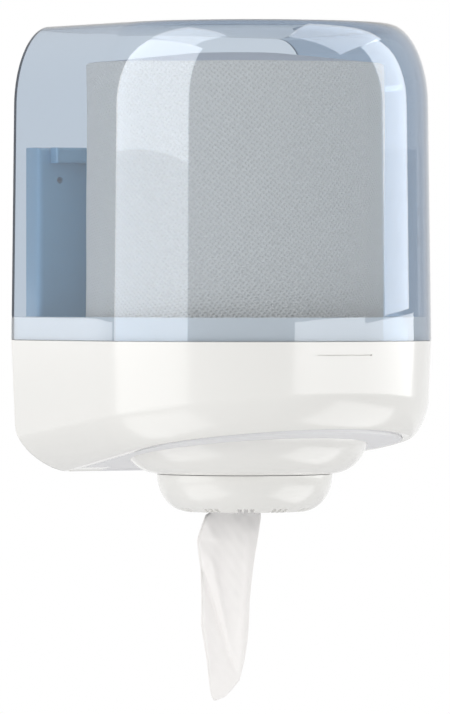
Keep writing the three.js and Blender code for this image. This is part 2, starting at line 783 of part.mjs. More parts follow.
function nozzleCollar() {
  const inner = collarRadius - collarWall;
  const flangeRadius = collarRadius + collarFlange;
  const flangeZ = bowlFloorZ + gap;
  const tube = turned([
    [inner, collarEndZ],
    [collarRadius, collarEndZ],
    [collarRadius, flangeZ],
    [flangeRadius, flangeZ],
    [flangeRadius, flangeZ + collarFlangePlate],
    [inner, flangeZ + collarFlangePlate],
  ]);
  const lugs = lugAngles().map((angle) => {
    const reach = collarRadius + lugReach;
    return sector(collarRadius - gap, reach, collarEndZ, collarEndZ + lugHeight, angle, lugAngle);
  });
  return cut(joined(tube, ...lugs), ...collarScrewHoles(0));
}

// Nozzle cup: the rounded cup, its web, and the skirt that holds the star. Groups of small notches round the
// mouth tear the paper.
function nozzleCup() {
  const roundWidth = cupRadius - cupMouthRadius;
  const cupTopZ = bowlBottomZ - gap;
  const roundHeight = cupTopZ - cupBottomZ;
  const innerAngle = -Math.asin((cupTopZ - webBottomZ) / (roundHeight - cupWall)) / toRadians;
  const innerWidth = roundWidth - cupWall;
  const wallRadius = cupRadius - cupWall;
  const body = turned([
    ...arc(cupMouthRadius, cupTopZ, roundWidth, roundHeight, 0, -90, 8),
    ...arc(cupMouthRadius, cupTopZ, innerWidth, roundHeight - cupWall, -90, innerAngle),
    [skirtRadius, webBottomZ],
    [skirtRadius, skirtEndZ],
    [starRadius + gap - skirtLip, skirtEndZ],
    [starRadius + gap - skirtLip, skirtEndZ + skirtLip],
    [starRadius + gap, skirtEndZ + skirtLip],
    [starRadius + gap, starStepZ],
    [skirtInner, starStepZ],
    [skirtInner, webBottomZ],
    [collarRadius + 2 * gap, webBottomZ],
    [collarRadius + 2 * gap, webTopZ],
    [wallRadius - gap, webTopZ],
    [wallRadius, cupTopZ],
  ]);
  const slots = lugAngles().map((angle) => {
    const inner = collarRadius - gap;
    const outer = collarRadius + lugReach + 2 * gap;
    return sector(inner, outer, webBottomZ - gap, webTopZ + gap, angle + 180 / lugCount, slotAngle);
  });
  return cut(body, ...slots, ...toothCutters());
}

function toothCutters() {
  const cutters = [];
  for (let group = 0; group < toothGroups; group++) {
    for (let tooth = 0; tooth < teethInGroup; tooth++) {
      const aside = ((tooth - (teethInGroup - 1) / 2) * toothPitch) / toothFootRadius / toRadians;
      const turn = (360 * group) / toothGroups + aside;
      const reach = toothFootRadius + toothReach;
      const half = toothWidth / 2;
      const bite = box(toothFootRadius, reach, -half, half, cupBottomZ - overrun, cupBottomZ + toothDepth);
      cutters.push(bite.rotate([0, 0, turn]));
    }
  }
  return cutters;
}

function exitStar() {
  const top = starStepZ - gap;
  const bottom = top - starThickness;
  const disc = turned([
    [starHoleRadius, bottom],
    [starRadius, bottom],
    [starRadius, top],
    [starHoleRadius, top],
  ]);
  const slitEnd = starHoleRadius + starSlitLength;
  const slits = Array.from({ length: starSlits }, (_, i) => {
    const half = starSlitWidth / 2;
    const slit = box(starHoleRadius - overrun, slitEnd, -half, half, bottom - overrun, top + overrun);
    return slit.rotate([0, 0, (360 * (i + 1 / 2)) / starSlits]);
  });
  return cut(disc, ...slits);
}

function starRing() {
  const top = starStepZ - starThickness - 2 * gap;
  const bottom = top - starRingHeight;
  return turned([[starRingInner, bottom], [starRadius, bottom], [starRadius, top], [starRingInner, top]]);
}

// Paper roll, drawn from its lower face up, with its edges softened. Its top is a flat cone.
function paperRoll() {
  return turned([
    [rollBore, 0],
    ...arc(rollRadius - rollEdge, rollEdge, rollEdge, rollEdge, -90, 0, 2),
    ...arc(rollRadius - rollEdge, rollHeight - rollSlip / 2 - rollEdge, rollEdge, rollEdge, 0, 90, 2),
    [rollBore, rollHeight + rollSlip / 2],
  ]);
}

// Paper tail: the inner end of the roll, gathered through funnel and star, hanging out of the nozzle in folds.
// Each row says how far down it lies, as a share of the hanging length, where its middle is and how wide it
// is, as shares of the tail's width, how deep its folds are, as a share of the deepest, and how many fold
// steps they slid aside.
const tailRowShares = [
  [-0.05, -0.1, 0.59, 0.57, 0.1],
  [0.014, -0.19, 0.9, 0.71, 0.2],
  [0.078, -0.235, 0.94, 0.79, 0.3],
  [0.149, -0.29, 1, 0.86, 0.4],
  [0.228, -0.3, 0.925, 0.93, 0.5],
  [0.347, -0.295, 0.85, 1, 0.65],
  [0.473, -0.315, 0.79, 1, 0.8],
  [0.6, -0.33, 0.78, 0.93, 0.95],
  [0.703, -0.315, 0.73, 0.86, 1.05],
  [0.798, -0.335, 0.59, 0.71, 1.1],
  [0.885, -0.37, 0.445, 0.57, 1.15],
  [0.956, -0.43, 0.245, 0.36, 1.2],
  [1, -0.48, 0.075, 0.11, 1.2],
];
const funnelRowShares = [0, 0.35, 0.7, 1]; // of the way from the roll to the funnel's throat
const foldShares = [0, 0.55, 1, 0.35, -0.4, -1, -0.5, 0.3, 0.85, 0.5, -0.15, -0.7, -0.3, 0.2];

function tailRows() {
  const between = (from, to, share) => from + (to - from) * share;
  const startZ = trayTopZ - gap;
  const funnelRows = funnelRowShares.map((share) => ({
    z: between(startZ, funnelEndZ, share),
    along: between(tailStartAlong, 0, share),
    across: between(tailStartAcross, 0, share),
    wide: between(tailStartWide, tailThroatWide, share),
    fold: between(tailStartFold, tailThroatFold, share),
    slant: 0,
  }));
  const throat = { along: 0, across: 0, wide: tailThroatWide, fold: tailThroatFold, slant: 0 };
  const hanging = tailRowShares.map(([down, middle, wide, fold, slant]) => ({
    z: cupBottomZ - tailHang * down,
    along: tailWidth * middle,
    across: 0,
    wide: tailWidth * wide,
    fold: tailFold * fold,
    slant,
  }));
  return [...funnelRows, { ...throat, z: starStepZ - gap - starThickness }, ...hanging];
}

// How far the folds stand out at a share of the width, with the fold lines slid aside by the slant.
function foldAt(share, slant) {
  const last = foldShares.length - 1;
  const place = Math.min(Math.max(share * last + slant, 0), last);
  const low = Math.min(Math.floor(place), last - 1);
  const rest = place - low;
  return foldShares[low] * (1 - rest) + foldShares[low + 1] * rest;
}

function tailSection(row) {
  const steps = foldShares.length - 1;
  const middle = Array.from({ length: steps + 1 }, (_, i) => {
    const share = i / steps;
    return [row.along + (share - 1 / 2) * row.wide, row.across + (row.fold * foldAt(share, row.slant)) / 2];
  });
  const shift = (side) => ([along, across]) => [along, across + (side * tailPlies) / 2, row.z];
  return [...middle.map(shift(-1)), ...middle.map(shift(1)).reverse()];
}

function paperTail() {
  return loft(tailRows().map(tailSection));
}

// Everything that stays on the wall
addPiece(dispenser, "rear_casing", rearCasing(), bluePlastic);
for (const [name, side] of [["roll_stop_left", -1], ["roll_stop_right", 1]]) {
  const stop = addPiece(dispenser, name, rollStop(), bluePlastic);
  stop.position.set(side * stopMiddleX, -casingDepth, stopMiddleZ);
}
const rodEndX = earEndX + capLength - capWall;
addPiece(dispenser, "hinge_rod", bar("x", rodRadius, -rodEndX, rodEndX, [0, 0], smallSteps), steel)
  .position.set(0, hingeY, hingeZ);
for (const [name, side] of [["hinge_cap_left", -1], ["hinge_cap_right", 1]]) {
  const cap = addPiece(dispenser, name, hingeCap(), greyWhite);
  cap.position.set(side * (earEndX + gap), hingeY, hingeZ);
  cap.rotation.z = side < 0 ? Math.PI : 0;
}

// Lock
const lock = groupAt(0, lockY, lockZ);
lock.rotation.y = Math.PI / 2;
addPiece(lock, "lock_barrel", lockBarrel(), steel);
addPiece(lock, "lock_cam", lockCam(), steel);
addPiece(lock, "lock_clip", lockClip(), steel);

// Front unit
addPiece(dispenser, "hood", hood(), clearBlue);
addPiece(dispenser, "lock_keeper", lockKeeper(), steel);
addPiece(dispenser, "base_shell", baseShell(), whiteGloss);
addPiece(dispenser, "base_floor", baseFloor(), greyWhite);
addPiece(dispenser, "bowl", bowl(), whiteGloss);
addPiece(dispenser, "roll_tray", rollTray(), greyWhite);
postPlaces.forEach(([x, y], i) => {
  const held = addPiece(dispenser, `tray_screw_${i + 1}`, screw(screwLength), steel);
  held.position.set(x, y, trayTopZ - screwHeadHeight - gap / 2);
});
const nozzleParts = groupAt(0, -nozzleAxis, 0);
addPiece(nozzleParts, "funnel", funnel(), greyWhite);
addPiece(nozzleParts, "nozzle_collar", nozzleCollar(), greyWhite);
collarScrewPlaces().forEach(([x, y], i) => {
  const held = addPiece(nozzleParts, `collar_screw_${i + 1}`, screw(shortScrewLength), steel);
  held.position.set(x, y, bowlFloorZ + collarFlangePlate + 2 * gap);
});

// Nozzle, which turns on the collar
addPiece(nozzleParts, "nozzle_cup", nozzleCup(), whiteGloss);
addPiece(nozzleParts, "exit_star", exitStar(), rubber);
addPiece(nozzleParts, "star_ring", starRing(), greyWhite);

// Paper
const roll = groupAt(rollX, -rollRadius - rollRear, trayTopZ + gap);
addPiece(roll, "paper_roll", paperRoll(), paper);
const tail = groupAt(0, -nozzleAxis, 0);
tail.rotation.z = tailTurn * toRadians;
addPiece(tail, "paper_tail", paperTail(), paper);

export default dispenser;
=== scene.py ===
# %% [markdown]
# # A clear-hooded wall dispenser for centrefeed paper rolls
# The dispenser hangs on a wall at hand height. A tinted clear hood and a white lower shell make one unit
# that tilts forward for loading. The roll stands inside, and its inner end is pulled out of a round
# nozzle below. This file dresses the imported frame: each cell makes one piece or one finish, in metres
# and in the frame's own axes, with the wall at y = 0, the front towards -y and z up.

# %% Load the frame
import math

import bmesh
import bpy
import numpy as np
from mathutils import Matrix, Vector


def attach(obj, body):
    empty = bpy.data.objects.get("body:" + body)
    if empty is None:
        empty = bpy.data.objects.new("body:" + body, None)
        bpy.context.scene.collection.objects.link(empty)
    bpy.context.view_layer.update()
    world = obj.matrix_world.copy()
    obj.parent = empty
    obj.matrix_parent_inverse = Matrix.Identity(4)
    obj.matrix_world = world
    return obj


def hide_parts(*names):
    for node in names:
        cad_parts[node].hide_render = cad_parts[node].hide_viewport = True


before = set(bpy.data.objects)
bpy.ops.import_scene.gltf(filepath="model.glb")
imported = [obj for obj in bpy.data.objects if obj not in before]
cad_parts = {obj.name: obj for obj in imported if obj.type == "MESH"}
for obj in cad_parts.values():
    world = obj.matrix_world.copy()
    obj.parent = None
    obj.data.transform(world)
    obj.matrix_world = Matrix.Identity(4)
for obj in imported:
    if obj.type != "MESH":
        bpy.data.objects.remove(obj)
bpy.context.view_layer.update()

# %% [markdown]
# ## Camera
# The photograph was taken from the left at the height of the roll, from several metres away, so upright
# edges stay upright. A long lens a few metres off gives that flat look. A small lens shift moves the
# picture in its frame without tilting the camera, which would make the uprights lean.

# %% Set up the camera
NOZZLE_Y = -0.106
CAMERA_TURN = math.radians(31.0)
CAMERA_DISTANCE = 4.89
EYE_HEIGHT = 0.0193
LENS = 369.8
SHIFT_X, SHIFT_Y = -0.0276, -0.1064


def add_camera():
    """The eye stands CAMERA_DISTANCE from the nozzle's axis, turned to the left, and looks at it levelly."""
    data = bpy.data.cameras.new("camera")
    camera = bpy.data.objects.new("camera", data)
    bpy.context.collection.objects.link(camera)
    aim = Vector((math.sin(CAMERA_TURN), math.cos(CAMERA_TURN), 0.0))
    camera.location = Vector((0.0, NOZZLE_Y, EYE_HEIGHT)) - CAMERA_DISTANCE * aim
    camera.rotation_euler = aim.to_track_quat("-Z", "Y").to_euler()
    data.lens = LENS
    data.shift_x = SHIFT_X
    data.shift_y = SHIFT_Y
    bpy.context.scene.camera = camera
    return camera


camera = add_camera()
print("camera at", [round(x, 3) for x in camera.location])

# %% [markdown]
# ## Meshes from whole arrays
# Every new surface here is a grid of points worked out with numpy. A grid can close on itself, as a bowl
# does round its axis. One helper turns a grid into quads, one puts the arrays into a mesh, merges points
# that meet, and marks the edges that stay sharp, and one hands the finished piece to its moving body.

# %% Grid and mesh helpers
MERGE_DISTANCE = 1e-6
SMOOTH_DEGREES = 35.0
MOULDED_EDGE = 0.0005


def grid_quads(rows, columns, wrap_rows=False, wrap_columns=False):
    """Quads of a rows x columns grid of points. A wrapped direction joins its last line to its first."""
    row_lines = np.arange(rows if wrap_rows else rows - 1)
    column_lines = np.arange(columns if wrap_columns else columns - 1)
    r, c = np.meshgrid(row_lines, column_lines, indexing="ij")
    r_next, c_next = (r + 1) % rows, (c + 1) % columns
    corners = [r * columns + c, r_next * columns + c, r_next * columns + c_next, r * columns + c_next]
    return np.stack(corners, axis=-1).reshape(-1, 4)


def mesh_from_arrays(name, points, quads):
    """Puts the points and quads into a mesh, merges points that coincide and turns the faces outwards."""
    mesh = bpy.data.meshes.new(name)
    mesh.vertices.add(len(points))
    mesh.vertices.foreach_set("co", np.asarray(points, np.float32).ravel())
    mesh.loops.add(quads.size)
    mesh.loops.foreach_set("vertex_index", quads.astype(np.int32).ravel())
    mesh.polygons.add(len(quads))
    mesh.polygons.foreach_set("loop_start", np.arange(0, quads.size, 4, dtype=np.int32))
    mesh.update(calc_edges=True)
    work = bmesh.new()
    work.from_mesh(mesh)
    bmesh.ops.remove_doubles(work, verts=work.verts, dist=MERGE_DISTANCE)
    bmesh.ops.dissolve_degenerate(work, edges=work.edges, dist=MERGE_DISTANCE)
    bmesh.ops.recalc_face_normals(work, faces=work.faces)
    work.to_mesh(mesh)
    work.free()
    return mesh


def smooth_by_angle(mesh, degrees):
    """Shades the mesh smooth, but keeps edges sharp where the faces turn by more than the angle."""
    mesh.polygons.foreach_set("use_smooth", np.ones(len(mesh.polygons), bool))
    mesh.set_sharp_from_angle(angle=math.radians(degrees))
    mesh.update()


def add_piece(name, mesh, body, nodes=(), degrees=SMOOTH_DEGREES):
    """Makes the mesh an object that rides on its body and stands for its CAD nodes."""
    smooth_by_angle(mesh, degrees)
    piece = bpy.data.objects.new(name, mesh)
    bpy.context.collection.objects.link(piece)
    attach(piece, body)
    if nodes:
        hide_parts(*nodes)
    return piece


def bake(piece, modifier):
    """Applies a modifier to the piece's mesh for good."""
    bpy.context.view_layer.update()
    evaluated = piece.evaluated_get(bpy.context.evaluated_depsgraph_get())
    baked = bpy.data.meshes.new_from_object(evaluated)
    piece.modifiers.remove(modifier)
    piece.data = baked


def round_edges(piece, width=MOULDED_EDGE, degrees=40.0):
    """Rounds the sharp edges of a piece, as a mould does."""
    bevel = piece.modifiers.new("rounded edges", "BEVEL")
    bevel.width = width
    bevel.segments = 2
    bevel.limit_method = "ANGLE"
    bevel.angle_limit = math.radians(degrees)
    bake(piece, bevel)


def finish_shading(piece, degrees=SMOOTH_DEGREES):
    """Shades the piece smooth between its sharp edges, with large faces kept flat."""
    smooth_by_angle(piece.data, degrees)
    weighted = piece.modifiers.new("even normals", "WEIGHTED_NORMAL")
    weighted.keep_sharp = True


# %% [markdown]
# ## The plan of hood and lower shell
# Seen from above, both shells share one outline: straight sides from the wall and a half-round front.
# Every height of either shell is this outline drawn in by some inset, so one function of an inset and a
# height makes the whole skin. Stations along the outline lie close together at the wall, where the lower
# shell is rounded.

# %% Plan stations
HALF_WIDTH = 0.119
FRONT_CENTRE = 0.116
SEAM_Z = -0.0201
GAP = 0.0003


def plan_stations(front_steps=96):
    """Points of the outline, from the left wall edge to the right one, and their outward directions."""
    near_wall = np.array([0, 0.0003, 0.001, 0.002, 0.0035, 0.0055, 0.0082, 0.012, 0.017])
    depth = np.concatenate([near_wall, np.linspace(0.024, FRONT_CENTRE, 13)[:-1]])
    turn = np.linspace(0, math.pi, front_steps + 1)
    side = np.stack([np.full_like(depth, -HALF_WIDTH), -depth], axis=1)
    outward = np.stack([-np.cos(turn), -np.sin(turn)], axis=1)
    front = np.array([0, -FRONT_CENTRE]) + HALF_WIDTH * outward
    points = np.concatenate([side, front, side[::-1] * [-1, 1]])
    left = np.tile([-1.0, 0.0], (len(side), 1))
    directions = np.concatenate([left, outward, -left])
    return points, directions


PLAN_POINTS, PLAN_OUTWARD = plan_stations()
PLAN_Y = PLAN_POINTS[:, 1]


def skin(insets, heights):
    """Points of a skin: each column is the outline moved inwards by its inset and lifted to its height."""
    insets = np.broadcast_to(insets, (len(PLAN_Y), insets.shape[-1]))
    heights = np.broadcast_to(heights, insets.shape)
    flat = PLAN_POINTS[:, None, :] - PLAN_OUTWARD[:, None, :] * insets[..., None]
    return np.concatenate([flat, heights[..., None]], axis=-1)


print("outline stations:", len(PLAN_Y))

# %% [markdown]
# ## The hood
# The real hood is one moulding of clear blue-grey plastic 2.5 mm thick, open at the back and at the
# bottom. A flat tinted sheet would look like paint: the dark lines along its rim and its top edge come
# from looking a long way through the wall. So it is a closed solid wall here, an outer and an inner skin
# joined round the rim. Its end faces and the inner skin by the rear edge are also painted navy further
# down, as painted shade that deepens those lines.

# %% Model the hood
HOOD_WALL = 0.0025
HOOD_DRAFT = 0.002
HOOD_TOP_Z = 0.1905
SHOULDER_WIDTH = 0.028
SHOULDER_HEIGHT = 0.055
DOME_RISE = 0.0018


def hood_profile(wall, shoulder_steps=28, dome_steps=14):
    """Insets and heights from the seam up: drafted side, quarter ellipse, flat dome to the ridge."""
    angle = np.linspace(0, math.pi / 2, shoulder_steps + 1)
    side = np.linspace(0, 1, 9)[:-1]
    shoulder_z = HOOD_TOP_Z - SHOULDER_HEIGHT
    side_inset = wall + HOOD_DRAFT * side
    side_height = SEAM_Z + (shoulder_z - SEAM_Z) * side
    round_inset = HOOD_DRAFT + wall + (SHOULDER_WIDTH - wall) * (1 - np.cos(angle))
    round_height = shoulder_z + (SHOULDER_HEIGHT - wall) * np.sin(angle)
    share = np.linspace(0, 1, dome_steps + 1)[1:]
    flat_inset = HOOD_DRAFT + SHOULDER_WIDTH
    dome_inset = flat_inset + (HALF_WIDTH - flat_inset) * share
    dome_height = HOOD_TOP_Z - wall + DOME_RISE * share**2 * (3 - 2 * share)
    insets = np.concatenate([side_inset, round_inset, dome_inset])
    heights = np.concatenate([side_height, round_height, dome_height])
    return insets, heights


def closed_wall(outer, inner):
    """Joins an outer and an inner skin of the same grid along their bottom and both rear edges."""
    rows, columns = outer.shape[:2]
    count = rows * columns
    quads = grid_quads(rows, columns)
    lower = np.arange(rows) * columns
    sides = [np.arange(columns), (rows - 1) * columns + np.arange(columns)]
    strips = []
    for line in [lower, *sides]:
        strips.append(np.stack([line[:-1], line[1:], line[1:] + count, line[:-1] + count], axis=1))
    points = np.concatenate([outer.reshape(-1, 3), inner.reshape(-1, 3)])
    return points, np.concatenate([quads, quads[:, ::-1] + count, *strips])


def carve(piece, cutter_points, cutter_quads):
    """Takes the cutter's closed form out of the piece for good."""
    cutter = bpy.data.objects.new("cutter", mesh_from_arrays("cutter", cutter_points, cutter_quads))
    bpy.context.collection.objects.link(cutter)
    cut = piece.modifiers.new("cut", "BOOLEAN")
    cut.operation = "DIFFERENCE"
    cut.solver = "EXACT"
    cut.object = cutter
    bake(piece, cut)
    bpy.data.objects.remove(cutter)


def swept(points):
    """Carries a closed section through rows of points and closes both ends with quads across the section."""
    rows, columns = points.shape[:2]
    quads = grid_quads(rows, columns, wrap_columns=True)
    steps = np.arange(columns // 2 - 1)
    ends = []
    for start in (0, (rows - 1) * columns):
        first = start + steps
        second = start + columns - 1 - steps
        ends.append(np.stack([first, first + 1, second - 1, second], axis=1))
    return points.reshape(-1, 3), np.concatenate([quads, *ends])


LOCK_Y, LOCK_Z = -0.0076, 0.048
KEY_HOLE_RADIUS = 0.005
KEY_HOLE_FROM, KEY_HOLE_TO = 0.112, 0.122


def side_bar(radius, from_x, to_x, centre, steps=48):
    """A round bar along x through the point centre = (y, z): a circle carried from one end to the other."""
    turn = np.linspace(0, 2 * math.pi, steps, endpoint=False)
    ring = np.stack([centre[0] + radius * np.cos(turn), centre[1] + radius * np.sin(turn)], axis=1)
    ends = np.broadcast_to(np.array([from_x, to_x])[:, None, None], (2, steps, 1))
    return swept(np.concatenate([ends, np.broadcast_to(ring, (2, steps, 2))], axis=-1))


hood_wall = closed_wall(skin(*hood_profile(0.0)), skin(*hood_profile(HOOD_WALL)))
hood_mesh = mesh_from_arrays("clear_hood", *hood_wall)
hood = add_piece("clear_hood", hood_mesh, "front_unit", ["hood"])
round_edges(hood)
carve(hood, *side_bar(KEY_HOLE_RADIUS, KEY_HOLE_FROM, KEY_HOLE_TO, (LOCK_Y, LOCK_Z)))
finish_shading(hood)
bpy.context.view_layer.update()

# %% [markdown]
# ## The white lower shell
# A glossy white moulding closes the unit below. Its sides run straight down, then roll under in a wide
# soft hem that is broad at the wall and narrow at the front, and end in a crisp edge round the sloping
# underside. One closed section, carried round the plan, makes the skin with its hem, its lip and the rim
# inside the hood.

# %% Model the lower shell
RIM_INSET = HOOD_WALL + GAP
RIM_HEIGHT = 0.0156
RIM_TOP_Z = SEAM_Z + RIM_HEIGHT
RIM_WALL = 0.0022
LEDGE_Z = SEAM_Z - GAP
SHELL_WALL = 0.0024
SHELL_DRAFT_SLOPE = 2.6 / 62
SHELL_EDGE = 0.0006
HEM_HEIGHT = 0.024
HEM_POWER = 1.45
HEM_FRONT_WIDTH, HEM_REAR_WIDTH = 0.0125, 0.036
HEM_TAPER_LENGTH = 0.175
LIP_WIDTH = 0.005
CREASE_REAR_Z = -0.1094
CREASE_FRONT_Z = -0.0776
HINGE_Y = -0.0082
HINGE_Z = -0.1012
HINGE = np.array([HINGE_Y, HINGE_Z])
BARREL_RADIUS = 0.0076
RIM_STEP = 0.0024


def underside_at(y):
    """Height of the sloping underside, a plane that rises towards the front."""
    return CREASE_REAR_Z + (CREASE_REAR_Z - CREASE_FRONT_Z) * y / (FRONT_CENTRE + HALF_WIDTH)


def shell_foot_at(y):
    """The underside, raised along the wall edge to a quarter circle round the hinge."""
    reach = np.clip(y - HINGE_Y, 0, BARREL_RADIUS + GAP)
    circle = HINGE_Z - np.sqrt((BARREL_RADIUS + GAP) ** 2 - reach**2)
    return np.where(y > HINGE_Y, np.maximum(underside_at(y), circle), underside_at(y))


def hem_start_at(y):
    """Inset at the top of the hem, from the draft of the straight side above it."""
    return SHELL_DRAFT_SLOPE * (SEAM_Z - underside_at(y) - HEM_HEIGHT)


def hem_width_at(y):
    """Width of the hem, which narrows evenly from the wall over the taper's length."""
    widening = HEM_REAR_WIDTH - HEM_FRONT_WIDTH
    return HEM_FRONT_WIDTH + widening * np.clip(1 + y / HEM_TAPER_LENGTH, 0, None)


def hem_section(angles, wall):
    """A superellipse from the side (angle 0) to the underside (a quarter turn), drawn in by the wall."""
    y = PLAN_Y[:, None]
    down = np.sin(angles) ** (2 / HEM_POWER)
    inward = 1 - np.clip(np.cos(angles), 0, 1) ** (2 / HEM_POWER)
    insets = hem_start_at(y) + hem_width_at(y) * inward + wall * np.cos(angles)
    heights = shell_foot_at(y) + HEM_HEIGHT * (1 - down) + wall * np.sin(angles)
    return insets, heights


def level(inset, height):
    """One line of the section, with the same inset and height all round."""
    column = np.ones((len(PLAN_Y), 1))
    return column * inset, column * height


def base_section():
    """The shell's closed section: lip, hem, side, ledge, rim, and back down inside."""
    y = PLAN_Y[:, None]
    foot = shell_foot_at(y)
    lip_end = hem_start_at(y) + hem_width_at(y) + LIP_WIDTH
    angles = np.linspace(math.pi / 2, 0, 33)
    outside = [
        (lip_end, foot),
        hem_section(angles, 0.0),
        level(0.0, LEDGE_Z),
        level(RIM_INSET, LEDGE_Z),
        level(RIM_INSET, RIM_TOP_Z),
    ]
    inside = [
        level(RIM_INSET + RIM_WALL, RIM_TOP_Z),
        level(RIM_INSET + RIM_WALL, LEDGE_Z - RIM_STEP),
        level(SHELL_WALL, LEDGE_Z - 2 * RIM_STEP),
        hem_section(angles[::-1], SHELL_WALL),
        (lip_end, foot + SHELL_WALL),
    ]
    lines = outside + inside
    insets = np.concatenate([line[0] for line in lines], axis=1)
    heights = np.concatenate([line[1] for line in lines], axis=1)
    return insets, heights


GROOVE_HALF_LENGTH = 0.021
GROOVE_LOW, GROOVE_HIGH = -0.0295, -0.0287
GROOVE_DEPTH = 0.0016
GROOVE_OVERRUN = 0.002


def groove_cutter():
    """A thin curved bar that follows the round front, cut in as deep as the groove."""
    half_angle = math.asin(GROOVE_HALF_LENGTH / HALF_WIDTH)
    turn = np.linspace(-half_angle, half_angle, 25)[:, None]
    inner, outer = HALF_WIDTH - GROOVE_DEPTH, HALF_WIDTH + GROOVE_OVERRUN
    radii = np.array([inner, outer, outer, inner])
    heights = np.array([GROOVE_LOW, GROOVE_LOW, GROOVE_HIGH, GROOVE_HIGH])
    x = radii * np.sin(turn)
    y = -FRONT_CENTRE - radii * np.cos(turn)
    return swept(np.stack([x, y, np.broadcast_to(heights, x.shape)], axis=-1))


base_mesh = mesh_from_arrays("white_shell", *swept(skin(*base_section())))
base = add_piece("white_shell", base_mesh, "front_unit", ["base_shell"])
round_edges(base, SHELL_EDGE)
carve(base, *groove_cutter())
finish_shading(base)
print("white_shell:", len(base.data.polygons), "faces")

# %% [markdown]
# ## Hinge ears
# The unit swings on a steel rod along the bottom of the wall edge. An ear either side of the casing's
# barrel belongs to the white moulding: a round eye with a flat foot that runs forward along the
# underside.

# %% Model the hinge ears
EAR_START_X, EAR_END_X = 0.0566, 0.0785
EAR_REACH = 0.0185
EAR_PLATE = 0.003
EAR_NECK = 0.0065
EYE_START_DEGREES, EYE_FOOT_DEGREES = 215, 262


def ear_section(steps=28):
    """Heights over depth of the ear: an upper line over its eye and a lower line along the underside."""
    tip = HINGE_Y - EAR_REACH
    along = np.linspace(tip, HINGE_Y - EAR_NECK, 6)
    over = np.radians(np.linspace(EYE_START_DEGREES, 0, steps))
    under = np.radians(np.linspace(EYE_FOOT_DEGREES, 360, steps))
    eye_top = HINGE + BARREL_RADIUS * np.stack([np.cos(over), np.sin(over)], axis=1)
    eye_foot = HINGE + BARREL_RADIUS * np.stack([np.cos(under), np.sin(under)], axis=1)
    foot_top = np.stack([along, underside_at(along) + EAR_PLATE], axis=1)
    foot = np.stack([along, underside_at(along)], axis=1)
    upper = np.concatenate([foot_top, eye_top])
    lower = np.concatenate([foot, eye_foot])
    return np.concatenate([upper, lower[::-1]])


for side, ear_name in ((-1, "hinge_ear_left"), (1, "hinge_ear_right")):
    ear_points = ear_section()
    ends_x = np.array([side * EAR_START_X, side * EAR_END_X])
    ear_x = np.broadcast_to(ends_x[:, None, None], (2, len(ear_points), 1))
    ear_grid = np.concatenate([ear_x, np.broadcast_to(ear_points, (2, *ear_points.shape))], axis=-1)
    ear = add_piece(ear_name, mesh_from_arrays(ear_name, *swept(ear_grid)), "front_unit")
    round_edges(ear)
    finish_shading(ear)
print("hinge ears from", EAR_START_X, "to", EAR_END_X)

# %% [markdown]
# ## The bowl
# A round dish bulges out through the sloping underside. Its rim follows the slope, so the dish shows
# deep at the front and almost vanishes at the back. Each upright section is the same arc, cut off where
# it meets the slope, with a flange that lies on the floor plate.

# %% Model the bowl
BOWL_RADIUS = 0.082
BOWL_ROUND_WIDTH = 0.025
BOWL_BOTTOM_Z = -0.109
BOWL_ROUND_HEIGHT = 0.025
BOWL_WALL = 0.0022
BOWL_FLANGE = 0.006
BOWL_BORE = 0.0343
FLANGE_LIFT, FLANGE_TOP_LIFT = 0.0046, 0.0062
BOWL_ARC_Z = BOWL_BOTTOM_Z + BOWL_ROUND_HEIGHT
BOWL_FLAT = BOWL_RADIUS - BOWL_ROUND_WIDTH


def bowl_skin(turn, wall, lift, arc_steps=30, side_steps=8):
    """Radius and height up one skin: flat bottom, elliptic arc, then straight up to the slope plus lift."""
    width, height = BOWL_ROUND_WIDTH - wall, BOWL_ROUND_HEIGHT - wall
    reach = np.full_like(turn, BOWL_RADIUS - wall)
    for _ in range(6):
        top = underside_at(NOZZLE_Y + reach * np.sin(turn)) + lift
        sine = np.clip((BOWL_ARC_Z - top) / height, 0, 1)
        reach = BOWL_FLAT + width * np.sqrt(1 - sine**2)
    end = -np.arcsin(sine)
    share = np.linspace(0, 1, arc_steps)
    angle = -math.pi / 2 + (end + math.pi / 2) * share
    radii = BOWL_FLAT + width * np.cos(angle)
    heights = BOWL_ARC_Z + height * np.sin(angle)
    rise = np.linspace(0, 1, side_steps)[1:]
    side_radii = np.repeat(radii[:, -1:], side_steps - 1, axis=1)
    side_heights = heights[:, -1:] + (top - heights[:, -1:]) * rise
    flat_radii = np.full_like(turn, BOWL_BORE)
    flat_heights = np.full_like(turn, BOWL_BOTTOM_Z + wall)
    return (np.concatenate([flat_radii, radii, side_radii], axis=1),
            np.concatenate([flat_heights, heights, side_heights], axis=1))


def bowl_grid(steps=160):
    """Closed sections of the bowl round the nozzle's axis."""
    turn = np.linspace(0, 2 * math.pi, steps, endpoint=False)[:, None]
    outer_r, outer_z = bowl_skin(turn, 0.0, FLANGE_LIFT)
    inner_r, inner_z = bowl_skin(turn, BOWL_WALL, FLANGE_TOP_LIFT)
    rim_r = np.full_like(turn, BOWL_RADIUS + BOWL_FLANGE)
    rim_foot = underside_at(NOZZLE_Y + rim_r * np.sin(turn))
    rim_z = [rim_foot + FLANGE_LIFT, rim_foot + FLANGE_TOP_LIFT]
    radii = np.concatenate([outer_r, rim_r, rim_r, inner_r[:, ::-1]], axis=1)
    heights = np.concatenate([outer_z, *rim_z, inner_z[:, ::-1]], axis=1)
    x = radii * np.cos(turn)
    y = NOZZLE_Y + radii * np.sin(turn)
    points = np.stack([x, y, heights], axis=-1)
    return points.reshape(-1, 3), grid_quads(*radii.shape, wrap_rows=True, wrap_columns=True)


bowl_mesh = mesh_from_arrays("round_bowl", *bowl_grid())
bowl = add_piece("round_bowl", bowl_mesh, "front_unit", ["bowl"])
finish_shading(bowl)
print("round_bowl:", len(bowl.data.polygons), "faces")

